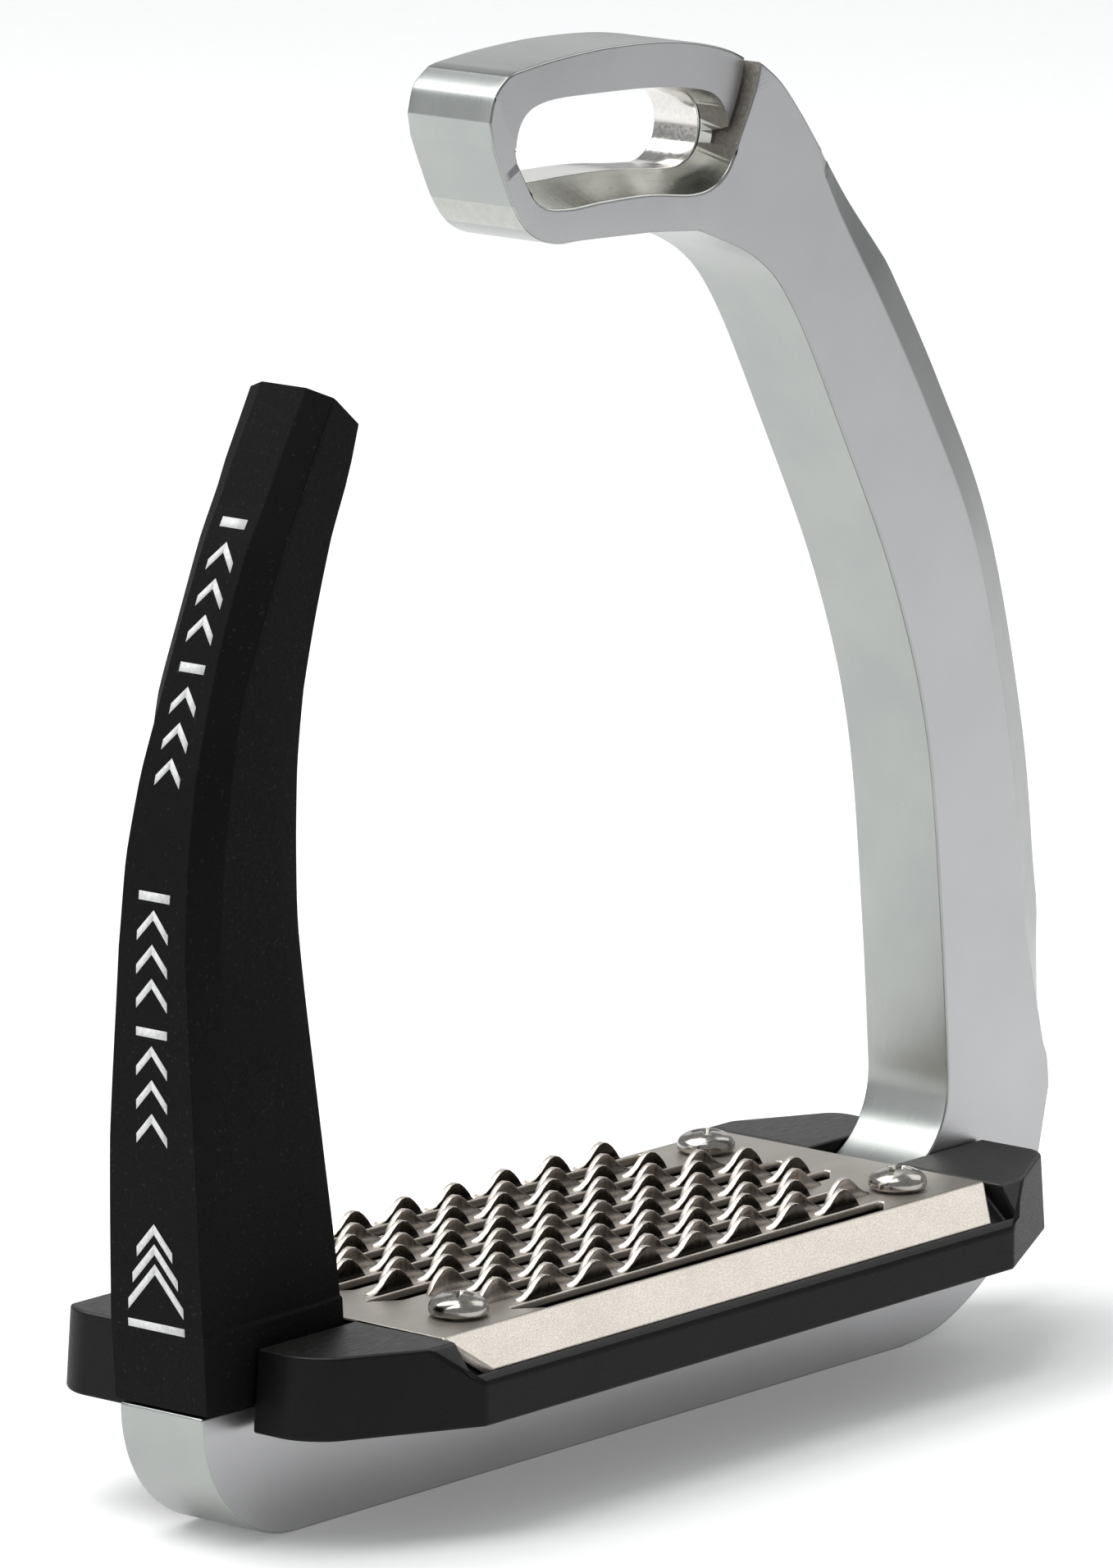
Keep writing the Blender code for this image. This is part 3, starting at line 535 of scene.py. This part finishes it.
def mouthLoop(steps):
    return curveThrough([
        (-21.4, 141.6), (-19.7, 138.0), (-16.6, 134.3), (-11.3, 133.2), (-4.2, 133.3),
        (4.5, 133.1), (13.0, 132.1), (17.4, 132.8), (20.1, 134.9), (21.7, 138.3),
        (21.5, 141.6), (18.0, 144.5), (8.5, 146.1), (-4.2, 146.9), (-15.0, 147.1),
        (-19.8, 145.5)], steps, True)


def topBarFace(x, z):
    # y of the recessed face beside the top bar
    f = frameShape
    (fromX, fromZ), (towardX, towardZ) = f["recessFrom"], f["recessToward"]
    fall = towardX * (x - fromX) + towardZ * (z - fromZ)
    return fall * f["recessSlope"] - f["halfDepth"]


def eyeCuts():
    f = frameShape
    front = -f["halfDepth"]
    wall = curveThrough([(20.6, 136.0), (22.3, 139.0), (24.1, 142.2), (25.4, 145.0),
                         (26.2, 148.0), (28.4, 157.0)], 6)
    outline = [(-34.0, 157.0), (-34.0, 147.0), (-20.3, 139.5), (-17.0, 136.4), *wall]
    recess = bmesh.new()
    loft(recess, [[(x, front - 4.0, z) for x, z in outline],
                  [(x, topBarFace(x, z), z) for x, z in outline]])
    edge = wall[3:]
    strip = edge + [(x - f["grooveWide"], z) for x, z in reversed(edge)]
    groove = bmesh.new()
    loft(groove, [[(x, front - 4.0, z) for x, z in strip],
                  [(x, topBarFace(x, z) + f["grooveDeep"], z) for x, z in strip]])
    inside = slotLoop(6)
    mouth = mouthLoop(6)
    mid = front + f["mouthDeep"]
    wide = [(m[0] + (m[0] - e[0]) * 0.2, m[1] + (m[1] - e[1]) * 0.2)
            for m, e in zip(mouth, inside)]
    flare = bmesh.new()
    loft(flare, [[(x, front - 0.2 * f["mouthDeep"], z) for x, z in wide],
                 [(x, mid, z) for x, z in inside],
                 [(x, mid + 1.0, z) for x, z in inside]])
    seat = prismY(grownLoop(inside, 1.25), mid, f["halfDepth"] + 1.0)
    return [recess, groove, flare, seat]


def boltCuts():
    f = frameShape
    return [rodMesh(f["boltX"], 0, f["boltHole"], f["barBottom"] - 5, f["barTop"] + 1.5),
            rodMesh(f["boltX"], 0, f["boltHead"], f["barBottom"] - 5, f["boltSeat"])]


def makeFrame():
    f = frameShape
    plan, reach = framePlan()
    wide = [tuple(Vector(p) + outwardOf(plan, i) * reach[i]) for i, p in enumerate(plan)]
    half = f["halfDepth"]
    inner = half - f["chamferDeep"]
    body = bmesh.new()
    loft(body, [[(x, y, z) for x, z in outline] for outline, y in
                ((plan, -half), (wide, -inner), (wide, inner), (plan, half))])
    body = withCuts(body, eyeCuts() + boltCuts())

    def outside(edge):
        onFace = all(abs(abs(v.co.y) - half) < 0.01 for v in edge.verts)
        inEye = all(-23 < v.co.x < 32 and 130 < v.co.z < 147.6 for v in edge.verts)
        one, other = (v.co for v in edge.verts)
        across = (one - other).xz.length < 0.01 and one.z > 120
        return (onFace or not inEye) and not across

    roundOver(body, f["edgeRound"], 16, 3, keep=outside)
    towardX, towardZ = f["recessToward"]
    slope = f["recessSlope"]
    slant = Vector((towardX * slope, -1.0, towardZ * slope)).normalized()

    def onRidge(edge):
        return len(edge.link_faces) == 2 and edge.calc_face_angle() > 0.03 and any(
            abs(face.normal.dot(slant)) > 0.9999 and face.calc_area() > 4
            for face in edge.link_faces)

    casting = finishPiece(body, "frameCasting", satin, replaces=["frame"], smoothTo=38,
                          sharp=onRidge)
    for metal in (brushed, mouthMetal, castSkin):
        casting.data.materials.append(metal)
    for face in casting.data.polygons:
        x, y, z = face.center * 1000 + Vector((0, 0, bearingZ))
        inEye = -22 < x < 26.5 and 131.5 < z < 150 and abs(y) < half - 0.05
        if abs(face.normal.y) > 0.97:
            face.material_index = 0
        elif inEye and face.normal.x < -0.8 and x > 19.5 and y < topBarFace(x, z) + 3:
            face.material_index = 3
        elif inEye and z < 148 and x > -21.9:
            face.material_index = 2
        else:
            face.material_index = 1
    return casting


def makeLiner():
    inside = slotLoop(8)
    outside = grownLoop(inside, 1.1)
    front = frameShape["mouthDeep"] - frameShape["halfDepth"] + 0.3
    back = frameShape["halfDepth"]
    ring = bmesh.new()
    loft(ring, [[(x, y, z) for x, z in loop] for loop, y in
                ((inside, front), (inside, back), (outside, back), (outside, front))],
         capped=False)
    roundOver(ring, 0.25, 40, 3)
    return finishPiece(ring, "eyeLiner", steel, replaces=["eye_liner"])


makeFrame()
makeLiner()
print("frame and eye made")


armShape = {
    # height, outer face, bevel end, crease, inner face, half width outside, half depth
    "sections": [
        (-7.2, -80.6, -77.0, -61.6, -54.4, 7.6, 7.7),
        (3.0, -81.3, -77.2, -62.0, -54.6, 7.6, 7.7),
        (26.0, -81.9, -77.0, -63.3, -58.2, 7.0, 7.3),
        (50.0, -81.7, -76.7, -65.1, -61.4, 5.5, 6.8),
        (61.0, -80.7, -75.9, -66.2, -61.8, 5.1, 6.8),
        (71.0, -78.6, -74.4, -66.9, -61.5, 4.5, 6.8),
        (80.0, -75.5, -72.6, -67.4, -60.3, 3.9, 6.8),
        (89.0, -72.1, -68.8, -67.4, -58.0, 3.6, 6.8),
        (98.0, -68.0, -64.9, -63.8, -55.1, 3.5, 6.8),
        (107.0, -62.8, -60.2, -59.2, -51.3, 3.6, 6.8),
    ],
    "tip": ((-57.0, 116.6), (-49.95, 111.4)),
    "innerTaper": 0.8,
    "collarTop": 3.0,       # the root is a little wider up to here
    "collarStep": 0.4,
    "collarFade": 22.0,     # the step closes again over this height
    "skinInset": 0.12,      # room for the printed marks
    "cornerRound": 0.5,
    "bendFrom": 2.0,        # heights for a bend of the arm; nothing reads them and the arm is not bent
    "bendTo": 52.0,
}


def armSection(height):
    rows = armShape["sections"]
    height = min(max(height, rows[0][0]), rows[-1][0])
    for i in range(len(rows) - 1):
        if height <= rows[i + 1][0]:
            break
    before, after = rows[max(i - 1, 0)], rows[min(i + 2, len(rows) - 1)]
    a, b = rows[i], rows[i + 1]
    t = (height - a[0]) / (b[0] - a[0])
    out = []
    for p, q, r, s in zip(before, a, b, after):
        out.append(0.5 * (2 * q + (r - p) * t + (2 * p - 5 * q + 4 * r - s) * t * t
                          + (3 * q - p - 3 * r + s) * t ** 3))
    straight = [q + (r - q) * t for q, r in zip(a, b)]
    mixed = [0.5 * (u + v) for u, v in zip(out, straight)]
    return (height, *mixed[1:])


def armRing(height):
    _, outer, bevel, crease, inner, halfOut, half = armSection(height)
    outer += armShape["skinInset"]
    if height > armShape["collarTop"]:
        above = (height - armShape["collarTop"]) / armShape["collarFade"]
        half -= armShape["collarStep"] * max(0.0, 1 - above)
    soft = half - armShape["innerTaper"]
    plan = [(outer, -halfOut), (bevel, -half), (crease, -half), (inner, -soft),
            (inner, soft), (crease, half), (bevel, half), (outer, halfOut)]
    return [(x, y, height) for x, y in plan]


def makeArm():
    heights = [-7.2, -4.0, 0.0, 2.9, 3.2, *[4.0 + 2.0 * i for i in range(51)], 107.0]
    rings = [armRing(h) for h in heights]
    last = armRing(107.0)
    (xOut, zOut), (xIn, zIn) = armShape["tip"]
    tip = []
    for x, y, z in last:
        share = (x - last[3][0]) / (last[0][0] - last[3][0])
        tip.append((xIn + (xOut - xIn) * share, y, zIn + (zOut - zIn) * share))
    body = bmesh.new()
    loft(body, rings + [tip])
    roundOver(body, armShape["cornerRound"], 14, 3, clamp=True)
    arm = finishPiece(body, "releaseArm", elastomer, body=None,
                      replaces=["release_arm", "release_arm_root"], smoothTo=50)
    bendArm(arm)


def bendArm(piece):
    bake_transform(piece)


# printed marks: two rows of arrows with bars between them, and three arrows over a bar
markShape = {
    "lift": 0.05,
    "upperRows": (70.0, 104.0),
    "lowerRows": (26.0, 61.0),
    "pitch": 4.2,
    "emblemLow": 3.8,
    "emblemStep": 3.4,
    "emblemWide": 9.0,
}


def markPatch(bm, corners):
    # a flat shape given as (y, height), laid on the arm's outer face
    verts = []
    count = len(corners)
    for i in range(count):
        y0, z0 = corners[i]
        y1, z1 = corners[(i + 1) % count]
        steps = max(1, int(abs(z1 - z0) / 1.5))
        for k in range(steps):
            y = y0 + (y1 - y0) * k / steps
            z = z0 + (z1 - z0) * k / steps
            x = armSection(z)[1] + armShape["skinInset"] - markShape["lift"]
            verts.append(bm.verts.new((x, y, z)))
    bm.faces.new(verts)


def chevron(bm, z, size, stroke):
    # two strips that meet in a point further up the arm
    for side in (-1, 1):
        out = side * size / 2
        markPatch(bm, [(out, z), (0, z + size * 0.55), (0, z + size * 0.55 + stroke),
                       (out, z + stroke)])


def makeMarks():
    m = markShape
    bm = bmesh.new()
    for (low, high), size in ((m["upperRows"], 4.0), (m["lowerRows"], 5.0)):
        count = int((high - low) / m["pitch"])
        for i in range(count):
            z = low + i * m["pitch"]
            if i % 4 == 3:
                markPatch(bm, [(-size / 2, z + 0.8), (size / 2, z + 0.8), (size / 2, z + 1.9),
                               (-size / 2, z + 1.9)])
            else:
                chevron(bm, z, size, 1.2)
    low = m["emblemLow"]
    for i in range(3):
        chevron(bm, low + 1.0 + i * m["emblemStep"], m["emblemWide"] - i * 1.6, 1.3)
    half = m["emblemWide"] / 2 + 0.1
    markPatch(bm, [(-half, low - 1.2), (half, low - 1.2), (half, low - 0.2),
                   (-half, low - 0.2)])
    bmesh.ops.triangulate(bm, faces=bm.faces)
    marks = finishPiece(bm, "armMarks", ink, body=None, weighted=False)
    thick = marks.modifiers.new("ink film", "SOLIDIFY")
    thick.thickness = 0.00006
    bendArm(marks)


makeArm()
makeMarks()
print("release arm made")


padShape = {
    "halfX": 73.0,
    "halfTopX": 72.0,
    "halfY": 28.2,
    "cornerX": 52.2,
    "cornerY": 17.3,
    "earX": 62.0,           # the back left ear is the widest
    "earY": 24.4,
    "bottom": -10.5,
    "lip": -5.1,
    "slopeTop": 24.5,
    # left, right, front, back, low, high
    "hollows": [(-51.2, 51.2, -24.2, 24.2, -14, -7.6), (-66.5, 66.5, -15.0, 15.0, -15, -7.2)],
    "armNotches": [(-82, -53.9, -8.2, 8.2, -14, 5), (53.5, 82, -7.1, 7.1, -14, 5)],
    "uprightRound": (4.5, 2.0),     # at the left end and at the right end
    "edgeRound": 0.45,
}

plateShape = {
    "halfX": 53.4,
    "halfY": 22.2,
    "sheet": 1.1,
    "flangeOut": 4.6,
    "flangeDown": 4.1,
    "flangeInset": 4.2,
    "slotPitch": 8.0,
    "slotWide": 3.4,
    "slotHalves": (36.3, 39.9, 45.1, 45.1, 39.9, 36.3),
    "toothPitch": 9.8,
    "toothWide": 8.6,
    "toothHigh": 2.8,
    "toothSheet": 0.9,
    "toothFoot": 0.5,       # how far a tooth starts below the top face
    "rootHigh": 1.7,        # height over which a tooth bends out of the sheet
    "rootOut": 1.1,
    "screwX": 43.3,
    "screwY": 16.0,
    "screwHole": 2.15,
    "edgeRound": 0.28,
}


def flangeInner(distance):
    # y of the profile's corner once the sheet's top is moved in by the distance
    p = plateShape
    length = (p["flangeOut"] ** 2 + p["flangeDown"] ** 2) ** 0.5
    return p["halfY"] - distance * (1 - p["flangeOut"] / length) / (p["flangeDown"] / length)


def makePad():
    p = padShape
    q = plateShape
    body = bmesh.new()
    rings = []
    for end, z in ((p["halfX"], p["bottom"]), (p["halfTopX"], 0.0)):
        rings.append([(x, y, z) for x, y in (
            (end, -p["cornerY"]), (end, p["cornerY"]), (p["cornerX"], p["halfY"]),
            (-p["earX"], p["halfY"]), (-end, p["earY"]), (-end, -p["cornerY"]),
            (-p["cornerX"], -p["halfY"]), (p["cornerX"], -p["halfY"]))])
    loft(body, rings)
    for beyond, width in zip((-60, 60), p["uprightRound"]):
        uprights = [e for e in body.edges if abs(e.verts[0].co.z - e.verts[1].co.z) > 5
                    and e.verts[0].co.x / beyond > 1]
        bmesh.ops.bevel(body, geom=uprights, offset=width, offset_type="OFFSET",
                        affect="EDGES", segments=8, profile=0.5, material=-1)
    cuts = []
    for side in (-1, 1):
        near = side * p["slopeTop"]
        far = side * (p["halfY"] + 12.0)
        fall = p["lip"] / (p["halfY"] - p["slopeTop"]) * (abs(far) - p["slopeTop"])
        cuts.append(prismX([(near, 0.0), (far, fall), (far, 8.0), (near, 8.0)], -80, 80))
    floor = -q["sheet"] - 0.3
    corner = flangeInner(q["sheet"] + 0.3)
    far = q["halfY"] + q["flangeOut"] + 0.4
    low = floor - (far - corner) * q["flangeDown"] / q["flangeOut"]
    reach = q["halfX"] + 0.3
    cuts.append(prismX([(-far, low), (-corner, floor), (corner, floor), (far, low),
                        (far, 6.0), (-far, 6.0)], -reach, reach))
    cuts += [boxMesh(*bounds) for bounds in p["hollows"] + p["armNotches"]]
    body = withCuts(body, cuts)
    roundOver(body, p["edgeRound"], 20, 3)
    pad = finishPiece(body, "footbedPad", nylon, replaces=["footbed_pad"])
    pad.data.materials.append(topSheen)
    # upward faces take the lighter copy, as painted sheen
    for face in pad.data.polygons:
        face.material_index = 1 if face.normal.z > 0.5 else 0
    return pad


def slotEdges():
    p = plateShape
    first = -2.5 * p["slotPitch"]
    return [(first + p["slotPitch"] * i - p["slotWide"] / 2,
             first + p["slotPitch"] * i + p["slotWide"] / 2)
            for i in range(len(p["slotHalves"]))]


def toothSheet(bm, x, y, toward, slot):
    # one lobe bent up from the sheet's edge. toward is the side its root comes from
    p = plateShape
    sheet = bmesh.ops.create_grid(bm, x_segments=10, y_segments=4, size=1.0)["verts"]
    for vert in sheet:
        along = vert.co.x
        up = (vert.co.y + 1) / 2
        high = p["toothHigh"] * max(0.0, 0.5 + 0.5 * cos(pi * along)) ** 0.8
        z = (high + p["toothFoot"]) * up - p["toothFoot"]
        root = max(0.0, 1.0 - (z + p["toothFoot"]) / p["rootHigh"])
        vert.co = (x + along * p["toothWide"] / 2, y + toward * p["rootOut"] * root ** 2, z)
    for face in {face for vert in sheet for face in vert.link_faces}:
        face.material_index = slot


def makeTeeth():
    p = plateShape
    bm = bmesh.new()
    t = p["toothSheet"] / 2
    for row, (half, (near, far)) in enumerate(zip(p["slotHalves"], slotEdges())):
        count = int((half - p["toothWide"] / 2) / p["toothPitch"])
        for k in range(-count, count + 1):
            # teeth on a slot's far edge take material 1, the painted-shade copy
            toothSheet(bm, k * p["toothPitch"], far + t, 1, 1)
        if row:
            count = int((half - p["toothWide"] / 2) / p["toothPitch"] + 0.5)
            for k in range(-count, count):
                toothSheet(bm, (k + 0.5) * p["toothPitch"], near - t, -1, 0)
    teeth = finishPiece(bm, "gripTeeth", toothMetal, smoothTo=80, weighted=False)
    teeth.data.materials.append(toothPaintedShade)
    teeth.data.materials.append(sheetMetal)
    thick = teeth.modifiers.new("sheet", "SOLIDIFY")
    # the cut rims take material 2, the plain sheet colour, lighter than the painted-shade faces
    thick.material_offset_rim = 2
    thick.thickness = p["toothSheet"] * 0.001
    thick.offset = 0
    soft = teeth.modifiers.new("broken edge", "BEVEL")
    soft.width = 0.0002
    soft.segments = 2
    soft.limit_method = "ANGLE"
    soft.angle_limit = radians(50)
    return teeth


def makePlate():
    p = plateShape
    y = p["halfY"]
    out = p["flangeOut"]
    down = p["flangeDown"]
    t = p["sheet"]
    length = (out ** 2 + down ** 2) ** 0.5
    corner = flangeInner(t)
    endY = y + out - t * down / length
    endZ = -down - t * out / length
    profile = [(-y - out, -down), (-y, 0), (y, 0), (y + out, -down), (endY, endZ),
               (corner, -t), (-corner, -t), (-endY, endZ)]
    body = prismX(profile, -p["halfX"], p["halfX"])
    cuts = []
    for end in (-1, 1):
        for side in (-1, 1):
            x = end * p["halfX"]
            wedge = [(x, side * y), (x - end * p["flangeInset"] * 1.5, side * (y + out * 1.5)),
                     (x + end * 6, side * (y + out * 1.5)), (x + end * 6, side * y)]
            cuts.append(prismZ(wedge, -9, 3))
            cuts.append(rodMesh(end * p["screwX"], side * p["screwY"], p["screwHole"], -3, 2))
    for half, (near, far) in zip(p["slotHalves"], slotEdges()):
        outline = [(-half, far), (-half - 0.4, far - 0.7), (-half + 3.0, near),
                   (half - 3.0, near), (half + 0.4, far - 0.7), (half, far)]
        cuts.append(prismZ(outline, -t - 1, 1))
    body = withCuts(body, cuts)
    roundOver(body, p["edgeRound"], 30, 3)
    plate = finishPiece(body, "gripPlate", sheetMetal, replaces=["grip_plate"])
    plate.data.materials.append(shadedTopMetal)
    # level top faces take the greyer copy of the sheet, as painted shade
    for face in plate.data.polygons:
        face.material_index = 1 if face.normal.z > 0.95 else 0
    return plate


makePad()
makePlate()
makeTeeth()
print("footbed made")


screwShape = {
    "head": 3.8,
    "rise": 2.6,
    "seat": 0.3,
    "shank": 2.0,
    "length": 9.5,
    "crossWide": 4.2,
    "crossDeep": 1.7,
    # end, side and how far each cross is turned, in degrees
    "places": {"front_left": (-1, -1, 25), "back_left": (-1, 1, 70),
               "front_right": (1, -1, 10), "back_right": (1, 1, 48)},
}


def crossTool(size, top, depth):
    arm = size / 2
    half = size * 0.12
    plan = [(arm, half), (half, half), (half, arm), (-half, arm), (-half, half), (-arm, half),
            (-arm, -half), (-half, -half), (-half, -arm), (half, -arm), (half, -half),
            (arm, -half)]
    tool = bmesh.new()
    loft(tool, [[(x * 0.45, y * 0.45, top - depth) for x, y in plan],
                [(x * 1.1, y * 1.1, top + depth * 0.2) for x, y in plan]])
    return tool


def makeScrews():
    s = screwShape
    top = s["seat"] + s["rise"]
    dome = []
    for a in range(0, 90, 6):
        height = s["seat"] + s["rise"] * (0.28 + 0.72 * sin(radians(a)))
        dome.append((s["head"] * cos(radians(a)), height))
    profile = [(0, -s["length"]), (s["shank"] * 0.7, -s["length"]),
               (s["shank"], 0.9 - s["length"]), (s["shank"], s["seat"]),
               (s["head"] * 0.95, s["seat"]), (s["head"], s["seat"] + 0.25), *dome, (0, top)]
    for spot, (end, side, turn) in s["places"].items():
        screw = withCuts(turnedMesh(profile), [crossTool(s["crossWide"], top, s["crossDeep"])])
        roundOver(screw, 0.12, 35, 2, keep=lambda e: min(v.co.z for v in e.verts) > 0.9)
        bmesh.ops.rotate(screw, verts=screw.verts, cent=(0, 0, 0),
                         matrix=Matrix.Rotation(radians(turn), 3, "Z"))
        place = (end * plateShape["screwX"], side * plateShape["screwY"], 0)
        bmesh.ops.translate(screw, verts=screw.verts, vec=place)
        finishPiece(screw, f"panScrew_{spot}", headSteel, replaces=[f"plate_screw_{spot}"])


makeScrews()
for name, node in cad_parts.items():
    if name.startswith(("tread_carrier", "carrier_screw", "arm_insert", "arm_bolt")):
        node.data.materials.clear()
        node.data.materials.append(steel)
print("screws made")


studio = {
    "cameraAt": (-1159.9, -977.8, 373.5),
    "azimuth": -49.729,
    "elevation": 11.752,
    "lens": 282.4,
    "floorGap": 0.05,       # the floor stands just clear of the tread bar
    "worldHex": "#E6E8EA",
    "worldStrength": 0.42,
    "paperGlow": 0.17,
    "softboxes": [          # name, place, width and height, watts
        ("overhead", (-0.5, 0.5, 1.3), (1.6, 1.6), 30),
        ("left", (-1.3, 0.7, 0.4), (0.5, 0.9), 1.6),
        ("backRight", (1.7, 1.4, 0.62), (1.5, 1.0), 2.6),
        ("rightHigh", (1.15, -0.25, 0.95), (0.9, 0.9), 3.6)],
}


def placeCamera():
    s = studio
    a = radians(s["azimuth"])
    e = radians(s["elevation"])
    right = Vector((cos(a), sin(a), 0))
    back = Vector((sin(a) * cos(e), -cos(a) * cos(e), sin(e)))
    up = back.cross(right)
    data = bpy.data.cameras.new("camera")
    data.sensor_fit = "VERTICAL"
    data.sensor_height = 36.0
    data.lens = s["lens"]
    data.clip_end = 20.0
    camera = bpy.data.objects.new("camera", data)
    place = toModel @ Vector(s["cameraAt"])
    camera.matrix_world = Matrix((
        (right.x, up.x, back.x, place.x), (right.y, up.y, back.y, place.y),
        (right.z, up.z, back.z, place.z), (0, 0, 0, 1)))
    bpy.context.scene.collection.objects.link(camera)
    bpy.context.scene.camera = camera


def softbox(name, place, target, size, power):
    data = bpy.data.lights.new(name, "AREA")
    data.shape = "RECTANGLE"
    data.size, data.size_y = size
    data.energy = power
    lamp = bpy.data.objects.new(name, data)
    lamp.location = place
    lamp.rotation_euler = (Vector(target) - Vector(place)).to_track_quat("-Z", "Y").to_euler()
    bpy.context.scene.collection.objects.link(lamp)


def makeStudio():
    floor = bmesh.new()
    bmesh.ops.create_grid(floor, x_segments=2, y_segments=2, size=5000)
    under = frameShape["barBottom"] - studio["floorGap"]
    bmesh.ops.translate(floor, verts=floor.verts, vec=(0, 0, under))
    paper, tree, shader = newMaterial("whitePaper", Roughness=0.9)
    shader.inputs["Specular IOR Level"].default_value = 0.1
    fibres = noiseAt(tree, 3.0, 3.0)
    tree.links.new(colourRamp(tree, fibres, [(0.3, "#F2F2F2"), (0.7, "#F6F6F6")]),
                   shader.inputs["Base Color"])
    # the paper is lit a little from behind, which evens out its shadows
    shader.inputs["Emission Color"].default_value = hexColour("#FFFFFF")
    shader.inputs["Emission Strength"].default_value = studio["paperGlow"]
    finishPiece(floor, "studioFloor", paper, body=None, weighted=False)
    world = bpy.data.worlds.new("studio")
    bpy.context.scene.world = world
    world.use_nodes = True
    sky = world.node_tree.nodes["Background"]
    sky.inputs["Color"].default_value = hexColour(studio["worldHex"])
    sky.inputs["Strength"].default_value = studio["worldStrength"]
    for name, place, size, power in studio["softboxes"]:
        softbox(name, place, (0, 0, -0.1), size, power)


placeCamera()
makeStudio()
bpy.context.scene.view_settings.view_transform = "Standard"
print("studio made")
